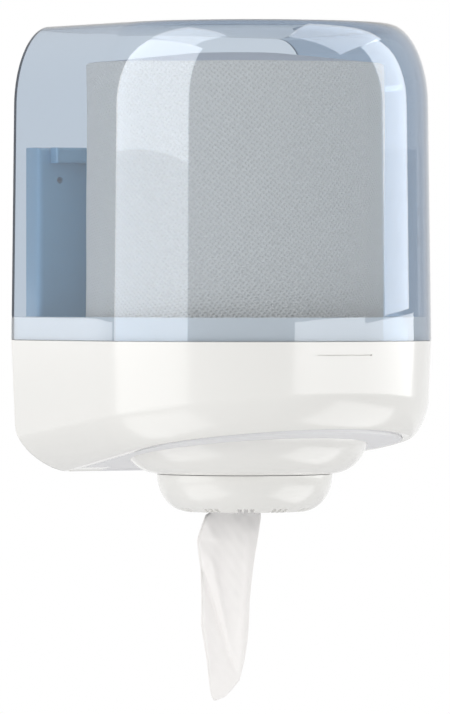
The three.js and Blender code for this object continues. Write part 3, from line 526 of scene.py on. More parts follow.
# %% [markdown]
# ## The nozzle cup
# The cup below the bowl curls in to a round mouth. Twelve groups of three small notches round the mouth
# tear the paper. The section is turned about the axis with a close line of points at each notch, and
# every point of the mouth's edge inside a notch is raised to the notch's foot.

# %% Model the nozzle cup
CUP_RADIUS = 0.0585
CUP_MOUTH_RADIUS = 0.038
CUP_TOP_Z = -0.1093
CUP_BOTTOM_Z = -0.1342
CUP_WALL = 0.0023
CUP_LIP_RADIUS = 0.0011
WEB_TOP_Z, WEB_BOTTOM_Z = -0.113, -0.1152
WEB_BORE = 0.0346
SKIRT_INNER, SKIRT_OUTER, SKIRT_END_Z = 0.0395, 0.0442, -0.1236
SKIRT_WALL, STAR_SEAT_Z = 0.0022, -0.1181
NOTCH_GROUPS, NOTCHES_IN_GROUP = 12, 3
NOTCH_WIDTH, NOTCH_PITCH, NOTCH_DEPTH = 0.0023, 0.0039, 0.0026
NOTCH_WEB = 0.0004
NOTCH_RADIUS = 0.0425
NOTCH_REACH = 0.006
NOTCH_EDGE = 0.0002


def cup_section(steps=44):
    """Closed profile: down the round outside, round the lip, up inside, along the web and the skirt."""
    width = CUP_RADIUS - CUP_MOUTH_RADIUS
    height = CUP_TOP_Z - CUP_BOTTOM_Z
    down = np.linspace(0, math.pi / 2, steps)
    arc_centre = np.array([CUP_MOUTH_RADIUS, CUP_TOP_Z])
    outside = arc_centre + np.stack([width * np.cos(down), -height * np.sin(down)], axis=1)
    lip_turn = np.linspace(-math.pi / 2, -3 * math.pi / 2, 9)[1:-1]
    lip_z = CUP_BOTTOM_Z + CUP_WALL / 2
    lip = np.stack([CUP_MOUTH_RADIUS + CUP_LIP_RADIUS * np.cos(lip_turn),
                    lip_z + CUP_WALL / 2 * np.sin(lip_turn)], axis=1)
    inner_width, inner_height = width - CUP_WALL, height - CUP_WALL
    up = np.linspace(math.pi / 2, math.asin((CUP_TOP_Z - WEB_BOTTOM_Z) / inner_height), 20)
    inside = arc_centre + np.stack([inner_width * np.cos(up), -inner_height * np.sin(up)], axis=1)
    skirt_bore = SKIRT_OUTER - SKIRT_WALL
    web = np.array([
        [SKIRT_OUTER, WEB_BOTTOM_Z], [SKIRT_OUTER, SKIRT_END_Z], [skirt_bore, SKIRT_END_Z],
        [skirt_bore, STAR_SEAT_Z], [SKIRT_INNER, STAR_SEAT_Z], [SKIRT_INNER, WEB_BOTTOM_Z],
        [WEB_BORE, WEB_BOTTOM_Z], [WEB_BORE, WEB_TOP_Z], [CUP_RADIUS - CUP_WALL - GAP, WEB_TOP_Z],
        [CUP_RADIUS - CUP_WALL, CUP_TOP_Z],
    ])
    return np.concatenate([outside, lip, inside, web])


def nearest_turn(turns, centres):
    """Angle from each turn to the nearest of the centres, measured the short way round."""
    apart = (turns[:, None] - centres + math.pi) % (2 * math.pi) - math.pi
    return np.abs(apart).min(axis=1)


def notch_turns():
    """Angles round the mouth: fine steps across each notch and its edges, coarser ones between."""
    aside = (np.arange(NOTCHES_IN_GROUP) - (NOTCHES_IN_GROUP - 1) / 2) * NOTCH_PITCH / NOTCH_RADIUS
    centres = (2 * math.pi / NOTCH_GROUPS * np.arange(NOTCH_GROUPS)[:, None] + aside).ravel()
    half = NOTCH_WIDTH / 2 / NOTCH_RADIUS
    edge = NOTCH_EDGE / NOTCH_RADIUS
    across = np.array([-half - edge, -half, -half / 2, 0, half / 2, half, half + edge])
    fine = (centres[:, None] + across).ravel()
    plain = np.linspace(0, 2 * math.pi, 12 * NOTCH_GROUPS, endpoint=False) + math.pi / NOTCH_GROUPS
    far = nearest_turn(plain, centres) > half + 2 * edge
    return np.sort(np.concatenate([fine, plain[far]]) % (2 * math.pi)), centres, half


def cup_grid():
    """The section turned about the nozzle's axis. In a notch the edge rises to its foot, and a web stays."""
    turn, centres, half = notch_turns()
    section = cup_section()
    inside_notch = nearest_turn(turn, centres) < half + NOTCH_EDGE / NOTCH_RADIUS / 2
    radii = np.broadcast_to(section[:, 0], (len(turn), len(section)))
    heights = np.broadcast_to(section[:, 1], radii.shape)
    edge = (radii < NOTCH_RADIUS + NOTCH_REACH) & (heights < SKIRT_END_Z)
    past_the_lip = np.arange(len(section)) > section[:, 1].argmin() + 3
    foot = CUP_BOTTOM_Z + NOTCH_DEPTH + NOTCH_WEB * past_the_lip
    raised = np.where(edge & inside_notch[:, None], np.maximum(heights, foot), heights)
    x = radii * np.cos(turn[:, None])
    y = NOZZLE_Y + radii * np.sin(turn[:, None])
    points = np.stack([x, y, raised], axis=-1)
    return points.reshape(-1, 3), grid_quads(*radii.shape, wrap_rows=True, wrap_columns=True)


cup_mesh = mesh_from_arrays("round_cup", *cup_grid())
cup = add_piece("round_cup", cup_mesh, "nozzle", ["nozzle_cup"])
finish_shading(cup)
print("round_cup:", len(cup.data.polygons), "faces,", NOTCH_GROUPS * NOTCHES_IN_GROUP, "notches")

# %% [markdown]
# ## The paper roll
# A full centrefeed roll stands in the hood. Its winding has slipped a little, as it does in transport,
# so the top is a very flat cone round the open bore. The map on its side is in metres, so the embossed
# dots keep their real size, and the top is left to rings worked out from the distance to its middle.

# %% Model the paper roll
ROLL_RADIUS = 0.099
ROLL_BORE = 0.030
ROLL_CENTRE = (-0.009, -0.110)
ROLL_FOOT_Z = -0.0329
ROLL_EDGE_Z = 0.1636
ROLL_CROWN_Z = 0.1706
ROLL_ROUND = 0.0022
BORE_ROUND = 0.001
SLOW_WAVE, QUICK_WAVE = 0.00035, 0.00025
WAVE_ROOM = 0.0006
WAVE_START_RADIUS = 0.09


def roll_section():
    """Closed profile of the roll: foot, rounded lower edge, side, rounded upper edge, cone and bore."""
    turn = np.linspace(0, math.pi / 2, 7)
    middle = ROLL_RADIUS - ROLL_ROUND
    foot_z = ROLL_FOOT_Z + ROLL_ROUND * (1 - np.cos(turn))
    foot = np.stack([middle + ROLL_ROUND * np.sin(turn), foot_z], axis=1)
    side_z = np.linspace(ROLL_FOOT_Z + ROLL_ROUND, ROLL_EDGE_Z - ROLL_ROUND, 60)[1:-1]
    side = np.stack([np.full_like(side_z, ROLL_RADIUS), side_z], axis=1)
    top_z = ROLL_EDGE_Z - ROLL_ROUND * (1 - np.sin(turn))
    top = np.stack([middle + ROLL_ROUND * np.cos(turn), top_z], axis=1)
    cone_r = np.linspace(middle, ROLL_BORE + BORE_ROUND, 24)[1:]
    cone_z = ROLL_EDGE_Z + (ROLL_CROWN_Z - ROLL_EDGE_Z) * (middle - cone_r) / (middle - ROLL_BORE)
    cone = np.stack([cone_r, cone_z], axis=1)
    bore_z = np.linspace(ROLL_CROWN_Z - BORE_ROUND, ROLL_FOOT_Z, 12)
    bore = np.stack([np.full_like(bore_z, ROLL_BORE), bore_z], axis=1)
    return np.concatenate([foot, side, top, cone, bore])


def roll_grid(steps=240):
    """The turned profile, with an uneven side: its radius varies by two low waves of height and angle."""
    section = roll_section()
    turn = np.linspace(0, 2 * math.pi, steps, endpoint=False)[:, None]
    radii, heights = section[:, 0], section[:, 1]
    waves = SLOW_WAVE * np.sin(3 * turn + 31 * heights) + QUICK_WAVE * np.sin(7 * turn - 55 * heights)
    on_side = np.clip((radii - WAVE_START_RADIUS) / (ROLL_RADIUS - WAVE_START_RADIUS), 0, 1)
    uneven = radii + on_side * (waves - WAVE_ROOM)
    x = ROLL_CENTRE[0] + uneven * np.cos(turn)
    y = ROLL_CENTRE[1] + uneven * np.sin(turn)
    points = np.stack([x, y, np.broadcast_to(heights, x.shape)], axis=-1)
    return points.reshape(-1, 3), grid_quads(steps, len(section), wrap_rows=True, wrap_columns=True)


def side_map(mesh, centre, radius):
    """A map in metres: along the winding, angle times radius, and up the side. The seam is at the back."""
    coords = np.empty(len(mesh.vertices) * 3, np.float32)
    mesh.vertices.foreach_get("co", coords)
    coords = coords.reshape(-1, 3)
    corner = np.empty(len(mesh.loops), np.int32)
    mesh.loops.foreach_get("vertex_index", corner)
    angle = np.arctan2(coords[:, 0] - centre[0], centre[1] - coords[:, 1])[corner].reshape(-1, 4)
    crossing = angle.max(axis=1) - angle.min(axis=1) > math.pi
    angle[crossing] = np.where(angle[crossing] < 0, angle[crossing] + 2 * math.pi, angle[crossing])
    flat = np.stack([angle.ravel() * radius, coords[corner, 2]], axis=1)
    layer = mesh.uv_layers.new(name="metres")
    layer.data.foreach_set("uv", flat.astype(np.float32).ravel())


roll_mesh = mesh_from_arrays("wound_roll", *roll_grid())
side_map(roll_mesh, ROLL_CENTRE, ROLL_RADIUS)
roll = add_piece("wound_roll", roll_mesh, "front_unit", ["paper_roll"], degrees=50)
print("wound_roll:", len(roll_mesh.polygons), "faces")

# %% [markdown]
# ## The paper tail
# The inner end of the roll is one sheet of soft tissue. It is gathered into five loose layers, drawn
# through the funnel and the star, and spreads again below the nozzle, where its torn end hangs in a
# point. Each row of the sheet runs to and fro across the width that the photograph shows at that height.

# %% Model the paper tail
TAIL_TURN = math.radians(-31)
TAIL_LAYERS = 5
TAIL_LAYER_GAP = 0.0019
TAIL_THICKNESS = 0.0003
LAYER_POINTS = 26
TURN_POINTS = 5
LOOSE_HALF_WIDTH = 0.012
LEAST_ROOM_SHARE = 0.12
FREE_BELOW_Z, FREE_OVER = -0.128, 0.012
FOLD_FADE_SHARE = 0.12
CRUMPLE_HEIGHT = 0.00008
TAIL_PATH = [
    # height, left and right edge from the nozzle's axis, and how far back the middle lies
    (-0.0340, -0.0500, -0.0240, -0.022),
    (-0.0600, -0.0280, -0.0100, -0.012),
    (-0.0850, -0.0120, 0.0010, -0.004),
    (-0.1000, -0.0072, 0.0064, 0.000),
    (-0.1195, -0.0066, 0.0066, 0.000),
    (-0.1270, -0.0130, 0.0080, 0.000),
    (-0.1342, -0.0215, 0.0102, 0.000),
    (-0.1367, -0.0260, 0.0107, 0.000),
    (-0.1433, -0.0285, 0.0100, 0.000),
    (-0.1533, -0.0318, 0.0085, 0.000),
    (-0.1633, -0.0308, 0.0067, 0.000),
    (-0.1733, -0.0293, 0.0053, 0.000),
    (-0.1933, -0.0289, 0.0032, 0.000),
    (-0.2100, -0.0291, 0.0026, 0.000),
    (-0.2200, -0.0275, 0.0018, 0.000),
    (-0.2333, -0.0253, -0.0002, 0.000),
    (-0.2467, -0.0239, -0.0035, 0.000),
    (-0.2533, -0.0231, -0.0088, 0.000),
    (-0.2580, -0.0219, -0.0134, 0.000),
    (-0.2602, -0.0206, -0.0192, 0.000),
]
TAIL_FOLDS = [
    # where a fold starts and ends (across, height), its width and its depth
    (-0.0290, -0.170, -0.0085, -0.234, 0.0016, 0.0026),
    (-0.0205, -0.172, -0.0100, -0.226, 0.0014, -0.0018),
    (0.0040, -0.150, -0.0020, -0.226, 0.0022, -0.0022),
    (-0.0120, -0.138, -0.0160, -0.180, 0.0040, 0.0010),
    (-0.0260, -0.138, -0.0215, -0.152, 0.0022, -0.0012),
    (-0.0040, -0.140, -0.0070, -0.200, 0.0036, -0.0009),
    (-0.0270, -0.200, -0.0230, -0.244, 0.0024, -0.0012),
]


def to_and_fro():
    """One row's path: x from -1 to 1 and back for each layer, y counting the layers, with round turns."""
    across = np.linspace(-1, 1, LAYER_POINTS)
    bend = np.radians(np.linspace(-90, 90, TURN_POINTS + 2)[1:-1])
    x, y, bulge = [], [], []
    for layer in range(TAIL_LAYERS):
        direction = 1 if layer % 2 == 0 else -1
        x.append(direction * across)
        y.append(np.full(LAYER_POINTS, float(layer)))
        bulge.append(np.zeros(LAYER_POINTS))
        if layer < TAIL_LAYERS - 1:
            x.append(np.full(TURN_POINTS, float(direction)))
            y.append(layer + 0.5 + 0.5 * np.sin(bend))
            bulge.append(direction * np.cos(bend))
    return np.concatenate(x), np.concatenate(y) - (TAIL_LAYERS - 1) / 2, np.concatenate(bulge)


def fold_depth(across, height):
    """Sum of the sheet's creases: each is a soft ridge along a slanting line, fading out past its ends."""
    depth = np.zeros_like(across)
    for start_x, start_z, end_x, end_z, width, rise in TAIL_FOLDS:
        share = (height - start_z) / (end_z - start_z)
        line = start_x + (end_x - start_x) * share
        before, after = np.clip(-share, 0, None), np.clip(share - 1, 0, None)
        fade = np.exp(-(before / FOLD_FADE_SHARE) ** 2 - (after / FOLD_FADE_SHARE) ** 2)
        depth += rise * fade / np.cosh((across - line) / width)
    return depth


def crumple(across, height):
    """Fine unevenness of soft tissue, as a sum of slanted waves of a few millimetres."""
    waves = [(410, 130, 0.4), (-300, 260, 1.9), (690, -340, 2.6), (150, 520, 4.4), (880, 610, 0.9)]
    return sum(CRUMPLE_HEIGHT * np.sin(a * across + b * height + c) for a, b, c in waves)


def tail_grid(rows=190):
    """Rows evenly spaced down the path, each a to-and-fro section turned to face the front left."""
    path = np.array(TAIL_PATH)
    height = np.linspace(path[0, 0], path[-1, 0], rows)
    order = slice(None, None, -1)
    left, right, back = (np.interp(height, path[order, 0], path[order, k]) for k in (1, 2, 3))
    x, y, bulge = to_and_fro()
    middle, half = (left + right)[:, None] / 2, (right - left)[:, None] / 2
    room = np.clip(half / LOOSE_HALF_WIDTH, LEAST_ROOM_SHARE, 1)
    gap = TAIL_LAYER_GAP * room
    across = middle + (half - gap / 2) * x + gap / 2 * bulge
    z = np.broadcast_to(height[:, None], across.shape)
    free = np.clip((FREE_BELOW_Z - z) / FREE_OVER, 0, 1)
    depth = back[:, None] + gap * y + free * room * (fold_depth(across, z) + crumple(across, z))
    world_x = across * math.cos(TAIL_TURN) - depth * math.sin(TAIL_TURN)
    world_y = NOZZLE_Y + across * math.sin(TAIL_TURN) + depth * math.cos(TAIL_TURN)
    points = np.stack([world_x, world_y, z], axis=-1)
    return points.reshape(-1, 3), grid_quads(*across.shape)


tail_mesh = mesh_from_arrays("tissue_tail", *tail_grid())
tail = add_piece("tissue_tail", tail_mesh, "front_unit", ["paper_tail"], degrees=180)
ply = tail.modifiers.new("paper thickness", "SOLIDIFY")
ply.thickness = TAIL_THICKNESS
ply.offset = 0.0
print("tissue_tail:", len(tail.data.polygons), "faces")

# %% [markdown]
# ## Smooth copies of the machined forms
# The frame's other nodes have the right shapes, but their meshes are loose triangles with hard facets.
# Each of them gets a copy whose points are merged and whose flat faces are joined, so its edges can be
# rounded as a mould rounds them.

# %% Copy the remaining nodes with rounded edges
COPY_MERGE_DISTANCE = 2e-5
FLAT_WITHIN_DEGREES = 0.5


def smooth_copy(node, body, width):
    """A merged copy of a node's mesh with coplanar triangles dissolved and its sharp edges rounded."""
    work = bmesh.new()
    work.from_mesh(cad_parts[node].data)
    bmesh.ops.remove_doubles(work, verts=work.verts, dist=COPY_MERGE_DISTANCE)
    flat_angle = math.radians(FLAT_WITHIN_DEGREES)
    bmesh.ops.dissolve_limit(work, angle_limit=flat_angle, verts=work.verts, edges=work.edges)
    mesh = bpy.data.meshes.new(node + "_smooth")
    work.to_mesh(mesh)
    work.free()
    piece = add_piece(node + "_smooth", mesh, body, [node])
    if width:
        round_edges(piece, width, SMOOTH_DEGREES)
    finish_shading(piece)
    return piece


COPIES = {
    # body: node, material slot, and the width of its rounded edges
    "wall_unit": [
        ("rear_casing", "blue_plastic", 0.0004),
        ("roll_stop_left", "blue_plastic", 0.0),
        ("roll_stop_right", "blue_plastic", 0.0),
        ("hinge_rod", "steel", 0.0002),
        ("hinge_cap_left", "grey_plastic", 0.0003),
        ("hinge_cap_right", "grey_plastic", 0.0003),
    ],
    "lock": [
        ("lock_barrel", "steel", 0.0002),
        ("lock_cam", "steel", 0.0003),
        ("lock_clip", "steel", 0.0001),
    ],
    "front_unit": [
        ("lock_keeper", "steel", 0.0003),
        ("base_floor", "grey_plastic", 0.0003),
        ("roll_tray", "grey_plastic", 0.0004),
        ("funnel", "grey_plastic", 0.0),
        ("nozzle_collar", "grey_plastic", 0.0003),
        *[(f"tray_screw_{i}", "steel", 0.0) for i in (1, 2, 3, 4)],
        *[(f"collar_screw_{i}", "steel", 0.0) for i in (1, 2, 3)],
    ],
    "nozzle": [
        ("exit_star", "grip_rubber", 0.0002),
        ("star_ring", "grey_plastic", 0.0003),
    ],
}

copies = {}
for body, entries in COPIES.items():
    for node, slot, width in entries:
        copies[node] = smooth_copy(node, body, width)
print("smooth copies:", len(copies))

# %% [markdown]
# ## Shared surface effects
# Moulded plastic is never quite even. One group gives a fine grain for the bump, another drifts a colour
# between two close tones. Each finish below wires them into its own shader at its own scale.

# %% Build the shared node groups
def new_group(name, inputs, outputs):
    """A shader node group with the named sockets, and its input and output nodes."""
    group = bpy.data.node_groups.new(name, "ShaderNodeTree")
    for label, kind, value in inputs:
        socket = group.interface.new_socket(name=label, in_out="INPUT", socket_type=kind)
        socket.default_value = value
    for label, kind in outputs:
        group.interface.new_socket(name=label, in_out="OUTPUT", socket_type=kind)
    return group, group.nodes.new("NodeGroupInput"), group.nodes.new("NodeGroupOutput")


def grain_group():
    """Height of a fine grain: two octaves of noise on the piece's own coordinates."""
    group, given, made = new_group(
        "fine grain", [("Scale", "NodeSocketFloat", 900.0)], [("Height", "NodeSocketFloat")])
    place = group.nodes.new("ShaderNodeTexCoord")
    noise = group.nodes.new("ShaderNodeTexNoise")
    noise.inputs["Detail"].default_value = 2.0
    group.links.new(place.outputs["Object"], noise.inputs["Vector"])
    group.links.new(given.outputs["Scale"], noise.inputs["Scale"])
    group.links.new(noise.outputs["Fac"], made.inputs["Height"])
    return group


def tone_group():
    """A colour that drifts between two tones with slow noise."""
    group, given, made = new_group(
        "slow tone",
        [("Light", "NodeSocketColor", (1, 1, 1, 1)), ("Dark", "NodeSocketColor", (0.9, 0.9, 0.9, 1)),
         ("Scale", "NodeSocketFloat", 9.0)],
        [("Color", "NodeSocketColor")])
    place = group.nodes.new("ShaderNodeTexCoord")
    noise = group.nodes.new("ShaderNodeTexNoise")
    noise.inputs["Detail"].default_value = 3.0
    mix = group.nodes.new("ShaderNodeMix")
    mix.data_type = "RGBA"
    group.links.new(place.outputs["Object"], noise.inputs["Vector"])
    group.links.new(given.outputs["Scale"], noise.inputs["Scale"])
    group.links.new(noise.outputs["Fac"], mix.inputs["Factor"])
    group.links.new(given.outputs["Light"], mix.inputs[6])
    group.links.new(given.outputs["Dark"], mix.inputs[7])
    group.links.new(mix.outputs[2], made.inputs["Color"])
    return group


GRAIN = grain_group()
TONE = tone_group()
print("groups:", GRAIN.name, "and", TONE.name)

# %% [markdown]
# ## Finishes
# Each finish is one short function. The plastics share a builder that takes two close tones, a roughness
# and the scale and depth of the grain.

# %% Plastics, metal and rubber
COAT_ROUGHNESS = 0.12


def shader(name):
    """A new material, its node tree, its Principled shader and its output."""
    material = bpy.data.materials.new(name)
    material.use_nodes = True
    tree = material.node_tree
    return material, tree, tree.nodes["Principled BSDF"], tree.nodes["Material Output"]


def group_node(tree, group, **values):
    """A copy of a shared group in the tree, with the given values on its inputs."""
    node = tree.nodes.new("ShaderNodeGroup")
    node.node_tree = group
    for label, value in values.items():
        node.inputs[label].default_value = value
    return node


def math_node(tree, operation, *values):
    """A math node whose inputs are sockets or plain numbers."""
    node = tree.nodes.new("ShaderNodeMath")
    node.operation = operation
    for socket, value in zip(node.inputs, values):
        if isinstance(value, (int, float)):
            socket.default_value = value
        else:
            tree.links.new(value, socket)
    return node.outputs["Value"]


def bump(tree, height, distance):
    """A bump node fed by a height socket. Distance is in metres."""
    node = tree.nodes.new("ShaderNodeBump")
    node.inputs["Distance"].default_value = distance
    tree.links.new(height, node.inputs["Height"])
    return node


def moulded(name, light, dark, roughness, grain_scale, grain_depth, coat=0.0, metallic=0.0):
    """Moulded or plated stock: a drifting tone, a constant roughness and a fine grain."""
    material, tree, principled, _ = shader(name)
    tone = group_node(tree, TONE, Light=(*light, 1), Dark=(*dark, 1))
    grain = group_node(tree, GRAIN, Scale=grain_scale)
    relief = bump(tree, grain.outputs["Height"], grain_depth)
    principled.inputs["Roughness"].default_value = roughness
    principled.inputs["Coat Weight"].default_value = coat
    principled.inputs["Coat Roughness"].default_value = COAT_ROUGHNESS
    principled.inputs["Metallic"].default_value = metallic
    tree.links.new(tone.outputs["Color"], principled.inputs["Base Color"])
    tree.links.new(relief.outputs["Normal"], principled.inputs["Normal"])
    return material


white_gloss = moulded(
    "white_gloss", light=(0.845, 0.838, 0.812), dark=(0.83, 0.823, 0.798),
    roughness=0.20, grain_scale=260, grain_depth=0.00001, coat=0.4)
grey_plastic = moulded(
    "grey_plastic", light=(0.80, 0.80, 0.82), dark=(0.78, 0.78, 0.80),
    roughness=0.42, grain_scale=900, grain_depth=0.00006)
blue_plastic = moulded(
    "blue_plastic", light=(0.22, 0.43, 0.61), dark=(0.20, 0.40, 0.58),
    roughness=0.26, grain_scale=900, grain_depth=0.00005, coat=0.8)
# An opaque navy for the hood's edge faces: painted shade for the dark look of the clear wall seen edge-on.
painted_dark_edge = moulded(
    "painted_dark_edge", light=(0.030, 0.062, 0.105), dark=(0.026, 0.054, 0.092),
    roughness=0.4, grain_scale=900, grain_depth=0.00003)
steel = moulded(
    "zinc_steel", light=(0.62, 0.63, 0.65), dark=(0.52, 0.53, 0.56),
    roughness=0.32, grain_scale=1800, grain_depth=0.00003, metallic=1.0)
grip_rubber = moulded(
    "grip_rubber", light=(0.28, 0.30, 0.33), dark=(0.24, 0.26, 0.29),
    roughness=0.65, grain_scale=1500, grain_depth=0.00008)
print("plastics, metal and rubber ready")

# %% [markdown]
# ## The hood's clear plastic
# The shader lets light pass and bends it as the plastic does, and the wall's own depth gives the tint,
# so long ways through the wall come out dark. Shadow rays and soft bounced light pass straight through
# and untinted, since waiting for them to find the lamps through two bent surfaces would leave the roll
# dark and noisy.

# %% The hood's clear plastic
TINT = (0.09, 0.28, 0.47)
TINT_DENSITY = 275.0
PLASTIC_INDEX = 1.58
HOOD_GRAIN_DEPTH = 0.000002


def clear_plastic():
    """Glassy shell mixed with a see-through one for shadow and diffuse rays, and absorption in its depth."""
    material, tree, principled, output = shader("clear_blue")
    principled.inputs["Base Color"].default_value = (1, 1, 1, 1)
    principled.inputs["Transmission Weight"].default_value = 1.0
    principled.inputs["Metallic"].default_value = 0.0
    principled.inputs["IOR"].default_value = PLASTIC_INDEX
    principled.inputs["Roughness"].default_value = 0.01
    grain = group_node(tree, GRAIN, Scale=60)
    relief = bump(tree, grain.outputs["Height"], HOOD_GRAIN_DEPTH)
    tree.links.new(relief.outputs["Normal"], principled.inputs["Normal"])
    path = tree.nodes.new("ShaderNodeLightPath")
    either = math_node(tree, "MAXIMUM", path.outputs["Is Shadow Ray"], path.outputs["Is Diffuse Ray"])
    through = tree.nodes.new("ShaderNodeBsdfTransparent")
    mix = tree.nodes.new("ShaderNodeMixShader")
    tree.links.new(either, mix.inputs["Fac"])
    tree.links.new(principled.outputs["BSDF"], mix.inputs[1])
    tree.links.new(through.outputs["BSDF"], mix.inputs[2])
    tree.links.new(mix.outputs["Shader"], output.inputs["Surface"])
    absorb = tree.nodes.new("ShaderNodeVolumeAbsorption")
    absorb.inputs["Color"].default_value = (*TINT, 1)
    straight = math_node(tree, "SUBTRACT", 1.0, either)
    tree.links.new(math_node(tree, "MULTIPLY", straight, TINT_DENSITY), absorb.inputs["Density"])
    tree.links.new(absorb.outputs["Volume"], output.inputs["Volume"])
    return material


clear_blue = clear_plastic()
print("clear plastic absorbs", [round(TINT_DENSITY * (1 - c), 1) for c in TINT], "per metre")

# %% [markdown]
# ## Tissue
# The roll's side is embossed with small dots in slanting rows, 2.6 mm apart. Its top shows the edges of the
# winding as thin rings, and it is painted a darker, bluish grey as painted shade. The tail is the same
# paper, pulled out and softly wrinkled.

# %% Tissue finishes
DOT_PITCH = 0.0026
DOT_TURN = math.radians(38)
DOT_DEPTH = 0.0009
TOP_INSET = 0.0016
WRINKLE_DEPTH = 0.0002


def dot_height(tree):
    """Height of the embossing: round dots on a square grid, turned by DOT_TURN on the map in metres."""
    place = tree.nodes.new("ShaderNodeUVMap")
    place.uv_map = "metres"
    turn = tree.nodes.new("ShaderNodeMapping")
    turn.inputs["Rotation"].default_value = (0, 0, DOT_TURN)
    dots = tree.nodes.new("ShaderNodeTexVoronoi")
    dots.voronoi_dimensions = "2D"
    dots.inputs["Scale"].default_value = 1 / DOT_PITCH
    dots.inputs["Randomness"].default_value = 0.12
    tree.links.new(place.outputs["UV"], turn.inputs["Vector"])
    tree.links.new(turn.outputs["Vector"], dots.inputs["Vector"])
    steeper = math_node(tree, "MULTIPLY", dots.outputs["Distance"], 2.2)
    return math_node(tree, "SMOOTH_MIN", steeper, 1.0, 0.2)


def roll_paper():
    """Dots on the side, winding rings on the top, a slow unevenness over both, and painted shade: a darker,
    bluish grey on the top.
    """
    material, tree, principled, _ = shader("roll_paper")
    side_tone = group_node(tree, TONE, Light=(0.95, 0.89, 0.82, 1), Dark=(0.92, 0.86, 0.79, 1), Scale=14)
    # Painted shade: the top is a darker, bluish grey than the side, standing in for shade seen through the
    # hood.
    painted_shade_top_tone = group_node(tree, TONE, Light=(0.74, 0.74, 0.78, 1), Dark=(0.70, 0.70, 0.74, 1), Scale=14)
    place = tree.nodes.new("ShaderNodeTexCoord")
    centre = tree.nodes.new("ShaderNodeMapping")
    centre.inputs["Location"].default_value = (-ROLL_CENTRE[0], -ROLL_CENTRE[1], 0)
    split = tree.nodes.new("ShaderNodeSeparateXYZ")
    tree.links.new(place.outputs["Object"], centre.inputs["Vector"])
    tree.links.new(centre.outputs["Vector"], split.inputs["Vector"])
    squares = [math_node(tree, "POWER", split.outputs[axis], 2.0) for axis in ("X", "Y")]
    radius = math_node(tree, "SQRT", math_node(tree, "ADD", *squares))
    rings = tree.nodes.new("ShaderNodeTexNoise")
    rings.noise_dimensions = "1D"
    rings.inputs["Scale"].default_value = 1400
    rings.inputs["Detail"].default_value = 3
    tree.links.new(radius, rings.inputs["W"])
    on_top = math_node(tree, "LESS_THAN", radius, ROLL_RADIUS - TOP_INSET)
    dots = math_node(tree, "MULTIPLY", dot_height(tree), math_node(tree, "SUBTRACT", 1.0, on_top))
    layers = math_node(tree, "MULTIPLY", rings.outputs["Fac"], on_top)
    relief = bump(tree, math_node(tree, "ADD", dots, layers), DOT_DEPTH)
    tone = tree.nodes.new("ShaderNodeMix")
    tone.data_type = "RGBA"
    tree.links.new(on_top, tone.inputs["Factor"])
    tree.links.new(side_tone.outputs["Color"], tone.inputs[6])
    tree.links.new(painted_shade_top_tone.outputs["Color"], tone.inputs[7])
    principled.inputs["Roughness"].default_value = 0.95
    principled.inputs["Specular IOR Level"].default_value = 0.2
    tree.links.new(tone.outputs[2], principled.inputs["Base Color"])
    tree.links.new(relief.outputs["Normal"], principled.inputs["Normal"])
    return material


def tail_paper():
    """Warm white tissue with fine slanting wrinkles."""
    material, tree, principled, _ = shader("tail_paper")
    tone = group_node(tree, TONE, Light=(0.97, 0.95, 0.935, 1), Dark=(0.955, 0.935, 0.92, 1), Scale=22)
    place = tree.nodes.new("ShaderNodeTexCoord")
    stretch = tree.nodes.new("ShaderNodeMapping")
    stretch.inputs["Scale"].default_value = (1, 1, 0.35)
    wrinkles = tree.nodes.new("ShaderNodeTexNoise")
    wrinkles.inputs["Scale"].default_value = 160
    wrinkles.inputs["Detail"].default_value = 4
    tree.links.new(place.outputs["Object"], stretch.inputs["Vector"])
    tree.links.new(stretch.outputs["Vector"], wrinkles.inputs["Vector"])
    relief = bump(tree, wrinkles.outputs["Fac"], WRINKLE_DEPTH)
    principled.inputs["Roughness"].default_value = 0.95
    principled.inputs["Specular IOR Level"].default_value = 0.15
    tree.links.new(tone.outputs["Color"], principled.inputs["Base Color"])
    tree.links.new(relief.outputs["Normal"], principled.inputs["Normal"])
    return material


# %% [markdown]
# ## Every piece gets its finish
# Two mouldings get a second finish. The hood's clear wall looks almost black along the wall edge from the
# long way through it, so those end faces and the inner skin beside them are painted navy: painted shade.
# The casing's bottom edge with its hinge barrel is as pale as the plastic of the underside. A function
# picks such faces from their centres and normals.

# %% Give out the finishes
FINISH = {
    "grey_plastic": grey_plastic, "blue_plastic": blue_plastic, "steel": steel, "grip_rubber": grip_rubber,
}


def wear(piece, material):
    """Gives the piece this one finish."""
    piece.data.materials.clear()
    piece.data.materials.append(material)


def wear_part(piece, material, chosen):
    """Gives a second finish to the faces that chosen picks from their centres and normals."""
    mesh = piece.data
    mesh.materials.append(material)
    centres = np.zeros(len(mesh.polygons) * 3)
    normals = np.zeros(len(mesh.polygons) * 3)
    mesh.polygons.foreach_get("center", centres)
    mesh.polygons.foreach_get("normal", normals)
    picked = chosen(centres.reshape(-1, 3), normals.reshape(-1, 3))
    mesh.polygons.foreach_set("material_index", picked.astype(np.int32))


REAR_END_Y, INNER_STRIP_Y = -0.0012, -0.0021
LOWER_END_Z = SEAM_Z + 0.0008
HOOD_HEART_Z = 0.116


def edge_shade_faces(centres, normals):
    """Faces painted dark as painted shade: the hood wall's end faces behind and below, and its inner skin
    near the rear edge.
    """
    rear = (centres[:, 1] > REAR_END_Y) & (normals[:, 1] > 0.15)
    lower = (centres[:, 2] < LOWER_END_Z) & (normals[:, 2] < -0.7)
    from_heart = centres[:, 0] * normals[:, 0] + (centres[:, 2] - HOOD_HEART_Z) * normals[:, 2]
    return rear | lower | ((from_heart < 0) & (centres[:, 1] > INNER_STRIP_Y))


def hinge_barrel(centres, _):
    """The casing's bottom edge with its hinge barrel, from the top of the barrel down."""
    return centres[:, 2] < HINGE_Z + BARREL_RADIUS


